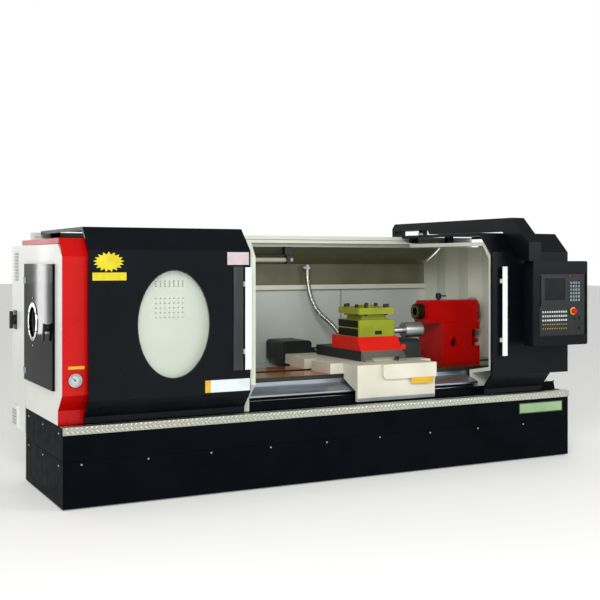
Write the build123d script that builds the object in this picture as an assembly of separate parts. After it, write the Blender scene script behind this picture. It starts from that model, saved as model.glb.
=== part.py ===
from build123d import *
import math
import os

# A flat-bed turning lathe with sliding guards, in millimetres.
# It is drawn from the base's front left corner: X to the right along the bed,
# Y to the back, Z up. The last lines move it to stand on its box's centre.

# Base of welded sheet, with a chip tub between two cast pedestals
base_length = 3818
base_depth = 954
base_height = 482
base_lift = 8
base_sheet = 5
seam_height = 280
seam_width = 4
seam_depth = 2
ledge_depth = 137
coaming_rise = 58
coaming_lean = 17
tub_floor_height = 250
tub_left = 1190
tub_right_from_end = 878
left_pedestal_start = 620
right_pedestal_end_from_end = 58
pedestal_wall = 40
motor_shelf = 40
nosing_sheet = 3
nosing_top = 60
nosing_drop = 44
nosing_overhang = 8
door_rail_front = 75
door_rail_width = 17
door_rail_height = 6

# Cast bed with two flat ways
bed_top_rise = 188
bed_bottom = 330
bed_left = 330
bed_right_from_end = 118
front_way_start = 300
front_way_width = 280
rear_way_start_from_back = 264
rear_way_width = 230
way_cap = 60
way_taper = 40
web_width = 70
foot_width = 160
foot_height = 30
rib_pitch = 560
rib_width = 30
tub_notch_gap = 2

# Spindle line
headstock_front_lap = 110
headstock_back_lap = 30
centre_height = 397
spindle_bore_radius = 52
spindle_radius = 80
spindle_rear = 110
nose_start = 1070
nose_radius = 150
nose_length = 40
chuck_radius = 200
chuck_length = 130
jaw_count = 3
jaw_width = 50
jaw_grip_radius = 72
jaw_length = 105
jaw_reach = 75
jaw_tongue = 26
headstock_left = 330
headstock_right = 1050
headstock_top_rise = 858
headstock_chamfer = 90
bearing_radius = 125
bearing_length = 60
bearing_seat = 0.3
pulley_start = 140
pulley_length = 110
spindle_pulley_radius = 150
motor_pulley_radius = 90
pulley_rim = 12
belt_thickness = 10
belt_gap = 0.3
motor_radius = 112
motor_length = 300
motor_left = 290
motor_axis_height = 185
motor_shaft_radius = 24
motor_foot_width = 250

# Fixed guards of folded sheet, on one front line
guard_sheet = 3
guard_face_y = 14
guard_face_low_rise = 185
guard_face_high_rise = 1000
guard_roof_y = 95
guard_roof_height_rise = 1110
guard_roof_back_past_back = 116
guard_foot_y = 111
guard_foot_top_rise = 86
red_guard_length = 240
left_guard_end = 1240
tail_guard_start_from_end = 709
tail_guard_end_from_end = 18
tail_slope_y = 241
tail_slope_height_rise = 102
guard_flange = 26
vent_hole_radius = 5.5
vent_hole_sides = 6
vent_columns = 7
vent_rows = 5
vent_pitch = 29
vent_middle_x = 660
upper_vent_rows = 3
upper_vent_gap = 75
upper_vent_pitch = 15
vent_middle_z_rise = 686

# White end frame and its dark door
frame_sheet = 16
frame_back_past_back = 31
frame_top_rise = 1074
frame_open_front = 190
frame_open_back_from_back = 29
frame_open_low_rise = 208
frame_open_high_rise = 943
end_door_sheet = 14
end_door_lap = 12
end_door_gap = 2
bar_hole_radius = 98
ring_radius = 122
ring_thickness = 5
end_hinge_radius = 9
end_hinge_length = 80
end_hinge_low_rise = 278
end_hinge_high_rise = 868
latch_y = 290
latch_height_rise = 568
latch_radius = 22
latch_grip_length = 110

# Pressure gauge on the red guard
gauge_x = 73
gauge_height_rise = 275
gauge_radius = 40
gauge_depth = 22
needle_length = 28

# Electrical cabinet behind the headstock
cabinet_front_past_back = 36
cabinet_back_past_back = 426
cabinet_low = 310
cabinet_high_rise = 1074
cabinet_length = 1150
cabinet_sheet = 4
cabinet_door_sheet = 20
cabinet_door_gap = 3
cabinet_hinge_radius = 8
switch_height_rise = 568
switch_inset = 90
switch_radius = 34
switch_grip = 120
vent_box_height = 150
vent_box_depth = 14

# Rear frame and back guard
beam_front_past_back = 206
beam_back_past_back = 306
beam_low_rise = 1083
beam_high_rise = 1168
beam_left = 100
ledge_front_past_back = 131
ledge_height_rise = 1118
ledge_sheet = 8
back_wall_y_past_back = 496
back_slope_height_rise = 948
back_ledge_height_rise = 768
back_low_height_rise = 168
back_floor_height_rise = 33
back_guard_start = 1175
back_guard_end_from_end = 308
back_sheet = 4
rear_rail_gap = 40
rear_rail_size = 50
rear_rail_height_rise = 908
rear_rail_start = 1195
rear_post_width = 40
rear_post_count = 3
partition_front = 490
partition_low_rise = 218
partition_fold = 22
partition_fold_pitch = 150
partition_inset = 20

# Sliding doors
door_sheet = 3
door_edge = 22
door_gap = 44
door_foot_y = 65
door_foot_low_rise = 10
door_foot_top_rise = 45
door_face_low_rise = 148
door_face_high_rise = 1038
door_roof_y = 110
door_roof_height_rise = 1178
door_roof_back_past_back = 196
left_door_start = 145
left_door_end = 1184
right_door_start_from_end = 730
right_door_end_from_end = 28
right_foot_end_from_end = 198
window_x = 675
window_height_rise = 588
window_half_width = 235
window_half_height = 332
window_sheet = 5
window_lap = 16
handle_width = 44
handle_sheet = 8
handle_standoff = 26
handle_low_rise = 293
handle_high_rise = 933
handle_arm_height = 30
handle_arm_low_rise = 405
handle_arm_high_rise = 829
left_handle_x = 1157
right_handle_x_from_end = 640

# Travelling arm that carries the control box
arm_start_from_end = 538
arm_width = 110
arm_top_rise = 1288
arm_under_rise = 1191
arm_under_rear_rise = 1226
arm_step_past_back = 91
arm_back_past_back = 646
arm_leg = 40
arm_front = -200
arm_inner_front = -92
arm_chamfer_start = -10
arm_chamfer_low_rise = 1108
arm_inner_chamfer_y = 103
arm_inner_chamfer_low_rise = 996
roller_radius = 28
roller_length = 60
roller_axle_radius = 8
shoe_size = 34
box_left_from_end = 500
box_right_past_end = 7
box_low_rise = 364
box_high_rise = 973
box_back = -96
box_corner = 10
panel_left_from_end = 438
panel_right_from_end = 7
panel_low_rise = 434
panel_high_rise = 880
panel_recess = 8
panel_sheet = 5
screen_left_from_end = 426
screen_right_from_end = 168
screen_low_rise = 648
screen_high_rise = 870
screen_proud = 6
glass_inset = 34
key_proud = 2
pad_left_from_end = 154
pad_low_rise = 680
pad_columns = 4
pad_rows = 6
pad_pitch = 25
pad_key = 18
stop_x_from_end = 127
stop_height_rise = 609
stop_radius = 20
stop_stem_radius = 8
stop_travel = 5
stop_gap = 3
stop_collar_radius = 28

# Carriage on the bed
carriage_left_from_end = 1773
carriage_right_from_end = 1138
apron_front = 100
apron_low_rise = 13
apron_wall = 28
saddle_top_rise = 260
slide_gap = 0.3
wing_length = 100
keeper_gap = 8
keeper_drop = 58
keeper_wall = 40
boss_left_from_end = 1578
boss_low_rise = 158
boss_proud = 22
boss_radius = 30
cover_clearance = 14
rail_cover_front = 170
rail_cover_low_rise = 88
rail_cover_high_rise = 130
rail_cover_sheet = 2
screw_radius = 25
screw_fit = 0.05
screw_y = 235
screw_height_rise = 42
nut_radius = 42
nut_length = 120
screw_left = 1205
screw_right_from_end = 728
lug_length = 35
lug_radius = 40
servo_size = 130
servo_length = 200

# Cross slide, turret and their drives
slide_left_from_end = 1612
slide_right_from_end = 1258
slide_front = 262
slide_back_past_back = 36
slide_top_rise = 333
slide_nose = 70
dovetail_width = 190
dovetail_flare = 25
dovetail_height = 30
dovetail_gap = 0.3
hood_sheet = 3
cross_motor_left_from_end = 1828
cross_motor_width = 250
cross_motor_low_rise = 208
cross_motor_high_rise = 356
cross_motor_front_past_back = 176
cross_motor_back_past_back = 471
cross_motor_round = 60
base_block_front_before_axis = 345
base_block_back_past_axis = 80
base_block_top_rise = 428
base_block_slope = 60
base_step_width = 38
base_step_height = 35
turret_x_from_end = 1433
turret_y_before_axis = 130
turret_size = 306
turret_body_top_rise = 488
turret_top_rise = 636
turret_slot_low_rise = 548
turret_slot_high_rise = 590
turret_slot_depth = 46
turret_gap = 0.3
turret_corner = 9
tool_screw_radius = 9
tool_screw_sides = 6
tool_screw_spread = 0.26
tool_screw_rise = 24
tool_screw_head = 20
tool_screw_clear = 0.4
turret_motor_start_from_end = 1146
turret_motor_end_from_end = 996
turret_motor_radius = 56
turret_motor_y_before_axis = 180
turret_motor_height_rise = 461
turret_neck_radius = 22
cable_cover_end_from_end = 1040
cable_cover_front_before_axis = 260
cable_cover_back_before_axis = 40
cable_cover_top_rise = 396

# Tailstock
tail_left_from_end = 733
tail_right_from_end = 393
tail_front_before_axis = 120
tail_back_from_back = 54
tail_top_rise = 670
barrel_left_from_end = 863
barrel_half_width = 86
barrel_low_rise = 498
quill_radius = 60
quill_fit = 0.05
quill_nose_from_end = 918
quill_end_from_end = 458
taper_mouth_radius = 31
taper_end_radius = 26
taper_depth = 150
quill_bore_radius = 18
tail_screw_radius = 16
wheel_gap = 4
wheel_radius = 105
wheel_rim = 11
wheel_hub_radius = 26
wheel_hub_length = 28
wheel_spokes = 3
lever_x_from_end = 700
lever_post_radius = 12
lever_knob_radius = 22
lever_knob_height = 44
pocket_left_from_end = 463
pocket_low_rise = 313
pocket_high_rise = 443
pocket_depth = 70
drop_x_from_end = 638
drop_height_rise = 340
drop_radius = 30
drop_point = 55
clamp_bolt_radius = 16

# Work lamp, coolant hose and its fitting
lamp_left = 1500
lamp_right = 2105
lamp_radius = 18
lamp_y_past_back = 246
lamp_height_rise = 981
lamp_clamp_size = 62
hose_x_from_end = 1478
hose_y_past_back = 442
hose_radius = 20
hose_sides = 16
hose_lead = 193
fitting_radius = 24
fitting_length = 40
fitting_low_rise = 903

# Levels over the top of the base, where the sheet and castings rise with it
bed_top = base_height + bed_top_rise
headstock_top = base_height + headstock_top_rise
guard_face_low = base_height + guard_face_low_rise
guard_face_high = base_height + guard_face_high_rise
guard_roof_height = base_height + guard_roof_height_rise
guard_foot_top = base_height + guard_foot_top_rise
tail_slope_height = base_height + tail_slope_height_rise
frame_top = base_height + frame_top_rise
frame_open_low = base_height + frame_open_low_rise
frame_open_high = base_height + frame_open_high_rise
end_hinge_low = base_height + end_hinge_low_rise
end_hinge_high = base_height + end_hinge_high_rise
latch_height = base_height + latch_height_rise
gauge_height = base_height + gauge_height_rise
cabinet_high = base_height + cabinet_high_rise
switch_height = base_height + switch_height_rise
beam_low = base_height + beam_low_rise
beam_high = base_height + beam_high_rise
ledge_height = base_height + ledge_height_rise
back_slope_height = base_height + back_slope_height_rise
back_ledge_height = base_height + back_ledge_height_rise
back_low_height = base_height + back_low_height_rise
back_floor_height = base_height + back_floor_height_rise
rear_rail_height = base_height + rear_rail_height_rise
partition_low = base_height + partition_low_rise
door_foot_low = base_height + door_foot_low_rise
door_foot_top = base_height + door_foot_top_rise
door_face_low = base_height + door_face_low_rise
door_face_high = base_height + door_face_high_rise
door_roof_height = base_height + door_roof_height_rise
window_height = base_height + window_height_rise
handle_low = base_height + handle_low_rise
handle_high = base_height + handle_high_rise
handle_arm_low = base_height + handle_arm_low_rise
handle_arm_high = base_height + handle_arm_high_rise
vent_middle_z = base_height + vent_middle_z_rise
arm_top = base_height + arm_top_rise
arm_under = base_height + arm_under_rise
arm_under_rear = base_height + arm_under_rear_rise
arm_chamfer_low = base_height + arm_chamfer_low_rise
arm_inner_chamfer_low = base_height + arm_inner_chamfer_low_rise
box_low = base_height + box_low_rise
box_high = base_height + box_high_rise
panel_low = base_height + panel_low_rise
panel_high = base_height + panel_high_rise
screen_low = base_height + screen_low_rise
screen_high = base_height + screen_high_rise
pad_low = base_height + pad_low_rise
stop_height = base_height + stop_height_rise
apron_low = base_height + apron_low_rise
saddle_top = base_height + saddle_top_rise
boss_low = base_height + boss_low_rise
rail_cover_low = base_height + rail_cover_low_rise
rail_cover_high = base_height + rail_cover_high_rise
screw_height = base_height + screw_height_rise
slide_top = base_height + slide_top_rise
cross_motor_low = base_height + cross_motor_low_rise
cross_motor_high = base_height + cross_motor_high_rise
base_block_top = base_height + base_block_top_rise
turret_body_top = base_height + turret_body_top_rise
turret_top = base_height + turret_top_rise
turret_slot_low = base_height + turret_slot_low_rise
turret_slot_high = base_height + turret_slot_high_rise
turret_motor_height = base_height + turret_motor_height_rise
cable_cover_top = base_height + cable_cover_top_rise
tail_top = base_height + tail_top_rise
barrel_low = base_height + barrel_low_rise
pocket_low = base_height + pocket_low_rise
pocket_high = base_height + pocket_high_rise
drop_height = base_height + drop_height_rise
lamp_height = base_height + lamp_height_rise
fitting_low = base_height + fitting_low_rise

# Places along the bed that move with the right end of the base
tub_right = base_length - tub_right_from_end
right_pedestal_end = base_length - right_pedestal_end_from_end
bed_right = base_length - bed_right_from_end
tail_guard_start = base_length - tail_guard_start_from_end
tail_guard_end = base_length - tail_guard_end_from_end
back_guard_end = base_length - back_guard_end_from_end
right_door_start = base_length - right_door_start_from_end
right_door_end = base_length - right_door_end_from_end
right_foot_end = base_length - right_foot_end_from_end
right_handle_x = base_length - right_handle_x_from_end
arm_start = base_length - arm_start_from_end
box_left = base_length - box_left_from_end
box_right = base_length + box_right_past_end
panel_left = base_length - panel_left_from_end
panel_right = base_length - panel_right_from_end
screen_left = base_length - screen_left_from_end
screen_right = base_length - screen_right_from_end
pad_left = base_length - pad_left_from_end
stop_x = base_length - stop_x_from_end
carriage_left = base_length - carriage_left_from_end
carriage_right = base_length - carriage_right_from_end
boss_left = base_length - boss_left_from_end
screw_right = base_length - screw_right_from_end
slide_left = base_length - slide_left_from_end
slide_right = base_length - slide_right_from_end
cross_motor_left = base_length - cross_motor_left_from_end
turret_x = base_length - turret_x_from_end
turret_motor_start = base_length - turret_motor_start_from_end
turret_motor_end = base_length - turret_motor_end_from_end
cable_cover_end = base_length - cable_cover_end_from_end
tail_left = base_length - tail_left_from_end
tail_right = base_length - tail_right_from_end
barrel_left = base_length - barrel_left_from_end
quill_nose = base_length - quill_nose_from_end
quill_end = base_length - quill_end_from_end
lever_x = base_length - lever_x_from_end
pocket_left = base_length - pocket_left_from_end
drop_x = base_length - drop_x_from_end
hose_x = base_length - hose_x_from_end

# Places that move with the back of the base
rear_way_start = base_depth - rear_way_start_from_back
cabinet_front = base_depth + cabinet_front_past_back
cabinet_back = base_depth + cabinet_back_past_back
beam_front = base_depth + beam_front_past_back
beam_back = base_depth + beam_back_past_back
ledge_front = base_depth + ledge_front_past_back
back_wall_y = base_depth + back_wall_y_past_back
guard_roof_back = base_depth + guard_roof_back_past_back
frame_back = base_depth + frame_back_past_back
frame_open_back = base_depth - frame_open_back_from_back
door_roof_back = base_depth + door_roof_back_past_back
arm_step = base_depth + arm_step_past_back
arm_back = base_depth + arm_back_past_back
cross_motor_front = base_depth + cross_motor_front_past_back
cross_motor_back = base_depth + cross_motor_back_past_back
slide_back = base_depth + slide_back_past_back
tail_back = base_depth - tail_back_from_back
lamp_y = base_depth + lamp_y_past_back
hose_y = base_depth + hose_y_past_back

# The spindle line lies midway between the sides of the headstock, and the tools follow it
headstock_front = front_way_start + headstock_front_lap
headstock_back = rear_way_start + rear_way_width + headstock_back_lap
axis_y = (headstock_front + headstock_back) / 2
turret_y = axis_y - turret_y_before_axis
base_block_front = axis_y - base_block_front_before_axis
base_block_back = axis_y + base_block_back_past_axis
cable_cover_front = axis_y - cable_cover_front_before_axis
cable_cover_back = axis_y - cable_cover_back_before_axis
turret_motor_y = axis_y - turret_motor_y_before_axis
tail_front = axis_y - tail_front_before_axis

# Values worked out from those above
axis_height = bed_top + centre_height
front_way_end = front_way_start + front_way_width
rear_way_end = rear_way_start + rear_way_width
carriage_middle = (carriage_left + carriage_right) / 2
coaming_top = base_height + coaming_rise
red_guard_end = red_guard_length
base_block_left = turret_x - turret_size / 2 - 18
base_block_right = turret_x + turret_size / 2 + 18
nose_end = nose_start + nose_length
chuck_end = nose_end + chuck_length


# Helpers
def block(x, y, z):
    """A box from its low and high ends along each axis."""
    sizes = [high - low for low, high in (x, y, z)]
    middle = [(high + low) / 2 for low, high in (x, y, z)]
    return Pos(*middle) * Box(*sizes)


def bar(outline, start, end):
    """An outline in Y and Z, run along X."""
    return extrude(Plane.YZ.offset(start) * make_face(Polyline(*outline, close=True)), end - start)


def beside(line, distance):
    """A line moved to its left by a distance, with mitred corners."""
    sides = []
    for (ay, az), (by, bz) in zip(line, line[1:]):
        run = math.hypot(by - ay, bz - az)
        sides.append(((az - bz) / run, (by - ay) / run))
    moved = []
    for i, (y, z) in enumerate(line):
        a = sides[max(i - 1, 0)]
        b = sides[min(i, len(sides) - 1)]
        share = distance / (1 + a[0] * b[0] + a[1] * b[1])
        moved.append((y + share * (a[0] + b[0]), z + share * (a[1] + b[1])))
    return moved


def fold(line, thickness, start, end):
    """A sheet folded along a line in Y and Z, with its thickness on the line's left."""
    return bar(line + beside(line, thickness)[::-1], start, end)


def rod_x(radius, start, end, y, z):
    """A round bar along X."""
    return extrude(Plane.YZ.offset(start) * Pos(y, z) * Circle(radius), end - start)


def rod_y(radius, start, end, x, z):
    """A round bar along Y."""
    face = Plane(origin=(x, start, z), x_dir=(1, 0, 0), z_dir=(0, 1, 0)) * Circle(radius)
    return extrude(face, end - start)


def rod_z(radius, start, end, x, y):
    """A round bar along Z."""
    return extrude(Plane.XY.offset(start) * Pos(x, y) * Circle(radius), end - start)


def turned(profile):
    """A shape turned about the spindle line, from X and radius pairs."""
    outline = [(x, axis_y, axis_height + r) for x, r in profile]
    line = Axis((0, axis_y, axis_height), (1, 0, 0))
    return revolve(make_face(Polyline(*outline, close=True)), line)


def flanged(line, thickness, edge, start, end):
    """A folded sheet with a return flange along both of its open sides."""
    skin = fold(line, thickness, start, end)
    left = fold(line, edge, start, start + thickness)
    right = fold(line, edge, end - thickness, end)
    return skin + left + right


parts = {}


# Base: a skirt round the machine, the ledge in front and the chip tub
def make_base():
    outer = block((0, base_length), (0, base_depth), (base_lift, base_height))
    inner = block((base_sheet, base_length - base_sheet), (base_sheet, base_depth - base_sheet),
                  (base_lift, base_height))
    ledge = block((base_sheet, base_length - base_sheet), (base_sheet, ledge_depth + base_sheet),
                  (base_height - base_sheet, base_height))
    coaming_line = [(ledge_depth + coaming_lean, coaming_top), (ledge_depth, base_height - base_sheet)]
    coaming = fold(coaming_line, base_sheet, tub_left, base_length - base_sheet)
    tub_outer = block((tub_left - base_sheet, tub_right + base_sheet),
                      (ledge_depth, base_depth - base_sheet),
                      (tub_floor_height - base_sheet, base_height - base_sheet))
    tub_inner = block((tub_left, tub_right), (ledge_depth + base_sheet, base_depth - base_sheet),
                      (tub_floor_height, base_height))
    seam = block((0, base_length), (0, seam_depth), (seam_height, seam_height + seam_width))
    side_seam = block((0, seam_depth), (0, base_depth), (seam_height, seam_height + seam_width))
    rail = block((beam_left, tail_guard_end), (door_rail_front, door_rail_front + door_rail_width),
                 (base_height, base_height + door_rail_height))
    base = outer - inner + ledge + coaming + (tub_outer - tub_inner) + rail - seam - side_seam
    for start, width in ((front_way_start, front_way_width), (rear_way_start, rear_way_width)):
        middle = start + width / 2
        reach = foot_width / 2 + tub_notch_gap
        base -= block((tub_left - 2 * base_sheet, tub_right + 2 * base_sheet),
                      (middle - reach, middle + reach), (bed_bottom - tub_notch_gap, base_height))
    return base


def make_nosing():
    line = [(0, base_height - nosing_drop), (0, base_height), (nosing_top, base_height)]
    return fold(line, nosing_sheet, 0, base_length + nosing_overhang)


def make_pedestals():
    wide = (front_way_start + web_width, rear_way_end)
    left = block((left_pedestal_start, tub_left - base_sheet - pedestal_wall), wide, (0, bed_bottom))
    hollow_left = block((left_pedestal_start + pedestal_wall, tub_left - base_sheet - 2 * pedestal_wall),
                        (wide[0] + pedestal_wall, wide[1] - pedestal_wall), (0, bed_bottom - pedestal_wall))
    shelf = block((motor_left - pedestal_wall, left_pedestal_start), wide, (0, motor_shelf))
    right_start = tub_right + base_sheet + pedestal_wall
    right = block((right_start, right_pedestal_end), wide, (0, bed_bottom))
    hollow_right = block((right_start + pedestal_wall, right_pedestal_end - pedestal_wall),
                         (wide[0] + pedestal_wall, wide[1] - pedestal_wall), (0, bed_bottom - pedestal_wall))
    return left - hollow_left, shelf, right - hollow_right


parts["base_shell"] = make_base()
parts["tread_plate"] = make_nosing()
parts["bed_pedestals"] = make_pedestals()


# Bed: two ways on webs and feet, tied by cross ribs, with lugs for the long screw
def way_section(start, width):
    middle = start + width / 2
    web = web_width / 2
    foot = foot_width / 2
    neck = bed_top - way_cap
    return [(start, bed_top), (start, neck), (middle - web, neck - way_taper),
            (middle - web, bed_bottom + foot_height), (middle - foot, bed_bottom + foot_height),
            (middle - foot, bed_bottom), (middle + foot, bed_bottom),
            (middle + foot, bed_bottom + foot_height), (middle + web, bed_bottom + foot_height),
            (middle + web, neck - way_taper), (start + width, neck), (start + width, bed_top)]


def screw_lug(start):
    arm = block((start, start + lug_length), (screw_y, front_way_start + (front_way_width - web_width) / 2),
                (screw_height - lug_radius / 2, screw_height + lug_radius / 2))
    eye = extrude(Plane.YZ.offset(start) * Pos(screw_y, screw_height) * RegularPolygon(lug_radius, 8),
                  lug_length)
    hole = rod_x(screw_radius + screw_fit, start, start + lug_length, screw_y, screw_height)
    return arm + eye - hole


def make_bed():
    bed = bar(way_section(front_way_start, front_way_width), bed_left, bed_right)
    bed += bar(way_section(rear_way_start, rear_way_width), bed_left, bed_right)
    rib_front = front_way_start + front_way_width / 2
    rib_back = rear_way_start + rear_way_width / 2
    rib_count = int((bed_right - bed_left) / rib_pitch)
    for i in range(rib_count + 1):
        x = bed_left + i * (bed_right - bed_left - rib_width) / rib_count
        bed += block((x, x + rib_width), (rib_front, rib_back),
                     (bed_bottom + foot_height, bed_top - way_cap - way_taper))
    return bed


parts["bed"] = [make_bed(), screw_lug(screw_left), screw_lug(screw_right - lug_length)]
cover_line = [(front_way_start - slide_gap, bed_top - way_cap / 2),
              (front_way_start - slide_gap, rail_cover_high),
              (rail_cover_front, rail_cover_low), (rail_cover_front, rail_cover_low - 10)]
parts["rail_cover"] = fold(cover_line[::-1], rail_cover_sheet, left_guard_end, tail_guard_start)


# Headstock, spindle and bearings
def make_headstock():
    low = bed_top
    chamfer = headstock_chamfer
    front = headstock_front
    back = headstock_back
    top = headstock_top
    outline = [(front, low), (back, low), (back, top - chamfer), (back - chamfer, top),
               (front + chamfer, top), (front, top - chamfer)]
    casting = bar(outline, headstock_left, headstock_right)
    bore = rod_x(spindle_radius + pulley_rim, headstock_left, headstock_right, axis_y, axis_height)
    seats = [rod_x(bearing_radius, x, x + bearing_length, axis_y, axis_height)
             for x in (headstock_left, headstock_right - bearing_length)]
    return casting - bore - seats[0] - seats[1]


def make_bearings():
    rings = []
    for x in (headstock_left, headstock_right - bearing_length):
        outer = rod_x(bearing_radius - bearing_seat, x, x + bearing_length, axis_y, axis_height)
        inner = rod_x(spindle_radius + screw_fit, x, x + bearing_length, axis_y, axis_height)
        rings.append(outer - inner)
    return rings


def make_spindle():
    return turned([(spindle_rear, spindle_bore_radius), (spindle_rear, spindle_radius),
                   (nose_start, spindle_radius), (nose_start, nose_radius),
                   (nose_end, nose_radius), (nose_end, spindle_bore_radius)])


def pulley_profile(bore, radius):
    """Half the section of a belt pulley with a low rim at each side."""
    end = pulley_start + pulley_length
    rim = radius + pulley_rim / 2
    return [(pulley_start, bore), (pulley_start, rim), (pulley_start + pulley_rim, rim),
            (pulley_start + pulley_rim, radius), (end - pulley_rim, radius),
            (end - pulley_rim, rim), (end, rim), (end, bore)]


def make_belt():
    start = pulley_start + pulley_rim + 1
    end = pulley_start + pulley_length - pulley_rim - 1
    loops = []
    for extra in (belt_gap, belt_gap + belt_thickness):
        top = Pos(axis_y, axis_height) * Circle(spindle_pulley_radius + extra)
        bottom = Pos(axis_y, motor_axis_height) * Circle(motor_pulley_radius + extra)
        loops.append(make_hull(top.edges() + bottom.edges()))
    ring = loops[1] - loops[0]
    return extrude(Plane.YZ.offset(start) * ring, end - start)


def make_motor_pulley():
    pulley = turned(pulley_profile(motor_shaft_radius + bearing_seat, motor_pulley_radius))
    return pulley.moved(Location((0, 0, motor_axis_height - axis_height)))


def make_motor():
    body = rod_x(motor_radius, motor_left, motor_left + motor_length, axis_y, motor_axis_height)
    shaft = rod_x(motor_shaft_radius, pulley_start, motor_left, axis_y, motor_axis_height)
    feet = block((motor_left + 20, motor_left + motor_length - 90),
                 (axis_y - motor_foot_width / 2, axis_y + motor_foot_width / 2),
                 (motor_shelf, motor_shelf + 18))
    saddle = block((motor_left + 20, motor_left + motor_length - 90),
                   (axis_y - motor_radius * 0.7, axis_y + motor_radius * 0.7),
                   (motor_shelf, motor_axis_height))
    return body + shaft + feet + saddle


parts["headstock"] = make_headstock()
parts["spindle_bearings"] = make_bearings()
parts["spindle"] = make_spindle()
parts["spindle_pulley"] = turned(pulley_profile(spindle_radius + bearing_seat, spindle_pulley_radius))
parts["motor_pulley"] = make_motor_pulley()
parts["drive_belt"] = make_belt()
parts["main_motor"] = make_motor()


# Three-jaw chuck: the jaws slide in tee slots on its face
def at_angle(shape, angle):
    """A shape drawn straight above the spindle line, turned about it."""
    return shape.rotate(Axis((0, axis_y, axis_height), (1, 0, 0)), angle)


def jaw_slot(clearance):
    """The tee slot of one jaw, drawn straight above the spindle line."""
    half = jaw_tongue / 2 + clearance
    low = axis_height + spindle_bore_radius + 6
    high = axis_height + chuck_radius + 1
    neck = block((chuck_end - 20, chuck_end + 1), (axis_y - half, axis_y + half), (low, high))
    wide = block((chuck_end - 34 - clearance, chuck_end - 20 + clearance),
                 (axis_y - half - 9, axis_y + half + 9), (low, high))
    return neck + wide


def make_chuck():
    chuck = turned([(nose_end, spindle_bore_radius), (nose_end, chuck_radius), (chuck_end - 8, chuck_radius),
                    (chuck_end, chuck_radius - 8), (chuck_end, spindle_bore_radius)])
    for i in range(jaw_count):
        chuck -= at_angle(jaw_slot(slide_gap), i * 360 / jaw_count)
        key = block((nose_end + 36, nose_end + 54), (axis_y - 9, axis_y + 9),
                    (axis_height + chuck_radius - 40, axis_height + chuck_radius + 1))
        chuck -= at_angle(key, (i + 0.5) * 360 / jaw_count)
    return chuck


def make_jaw(i):
    low = axis_height + jaw_grip_radius
    half = jaw_width / 2
    side = [(chuck_end + slide_gap, low), (chuck_end + jaw_reach, low),
            (chuck_end + jaw_reach, low + jaw_length / 3),
            (chuck_end + jaw_reach * 2 / 3, low + jaw_length / 3),
            (chuck_end + jaw_reach * 2 / 3, low + jaw_length * 2 / 3),
            (chuck_end + jaw_reach / 3, low + jaw_length * 2 / 3),
            (chuck_end + jaw_reach / 3, low + jaw_length), (chuck_end + slide_gap, low + jaw_length)]
    outline = make_face(Polyline(*[(x, axis_y - half, z) for x, z in side], close=True))
    jaw = extrude(outline, jaw_width, dir=(0, 1, 0))
    tongue = block((chuck_end - 20, chuck_end + slide_gap + 1),
                   (axis_y - jaw_tongue / 2, axis_y + jaw_tongue / 2), (low + 4, low + jaw_length - 4))
    wings = block((chuck_end - 34, chuck_end - 20),
                  (axis_y - jaw_tongue / 2 - 9, axis_y + jaw_tongue / 2 + 9),
                  (low + 4, low + jaw_length - 4))
    return at_angle(jaw + tongue + wings, i * 360 / jaw_count)


parts["chuck"] = make_chuck()
for i in range(jaw_count):
    parts[f"jaw_{i + 1}"] = make_jaw(i)


# Fixed guards: red at the left end, cream with vent holes beside it, cream at the tail
guard_line = [(guard_roof_back, guard_roof_height), (guard_roof_y, guard_roof_height),
              (guard_face_y, guard_face_high), (guard_face_y, guard_face_low),
              (guard_foot_y, guard_foot_top), (guard_foot_y, base_height)]


def make_red_guard():
    skin = fold(guard_line, guard_sheet, 0, red_guard_end)
    border = fold(guard_line[:2], guard_roof_height - frame_top - guard_sheet, 0, frame_sheet)
    rib = fold(guard_line[1:], guard_flange, red_guard_end - guard_sheet, red_guard_end)
    return skin + border + rib


def make_vented_guard():
    guard = flanged(guard_line, guard_sheet, guard_flange, red_guard_end, left_guard_end)
    face = Plane(origin=(vent_middle_x, guard_face_y - 1, vent_middle_z), x_dir=(1, 0, 0), z_dir=(0, -1, 0))
    top_row = vent_pitch * (vent_rows - 1) / 2
    upper = Pos(0, top_row + upper_vent_gap + upper_vent_pitch * (upper_vent_rows - 1) / 2)
    places = list(GridLocations(vent_pitch, vent_pitch, vent_columns, vent_rows))
    places += [upper * place for place in GridLocations(vent_pitch, upper_vent_pitch, vent_columns, upper_vent_rows)]
    hole = RegularPolygon(vent_hole_radius, vent_hole_sides)
    return guard - [extrude(face * place * hole, -guard_sheet - 2) for place in places]


def make_tail_guard():
    line = guard_line[:4] + [(tail_slope_y, guard_face_low - 40), (tail_slope_y, tail_slope_height),
                             (tail_slope_y - 34, tail_slope_height - 51),
                             (ledge_depth + coaming_lean + guard_flange, base_height + 4)]
    skin = fold(line, guard_sheet, tail_guard_start, tail_guard_end)
    flange = fold(line, guard_flange, tail_guard_start, tail_guard_start + guard_sheet)
    rear = [(base_depth, base_height), (guard_roof_back, base_height + 60)]
    end_wall = bar(beside(line, guard_sheet) + rear, tail_guard_end - guard_sheet, tail_guard_end)
    return skin + flange + end_wall


parts["headstock_guard"] = make_red_guard()
parts["chuck_guard"] = make_vented_guard()


# White end frame with its door, hinges, bar hole ring and latch
def make_end_frame():
    inset = beside(guard_line, guard_sheet + slide_gap)
    outline = [(frame_back, frame_top), (inset[1][0] + 26, frame_top)] + inset[2:]
    outline[-1] = (outline[-1][0], base_height)
    outline.append((base_depth, base_height))
    outline.append((frame_back, base_height + 60))
    frame = bar(outline, 0, frame_sheet)
    opening = block((-1, frame_sheet + 1), (frame_open_front, frame_open_back),
                    (frame_open_low, frame_open_high))
    frame -= opening
    for hinge in make_end_hinges():
        frame += hinge
    return frame


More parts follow.
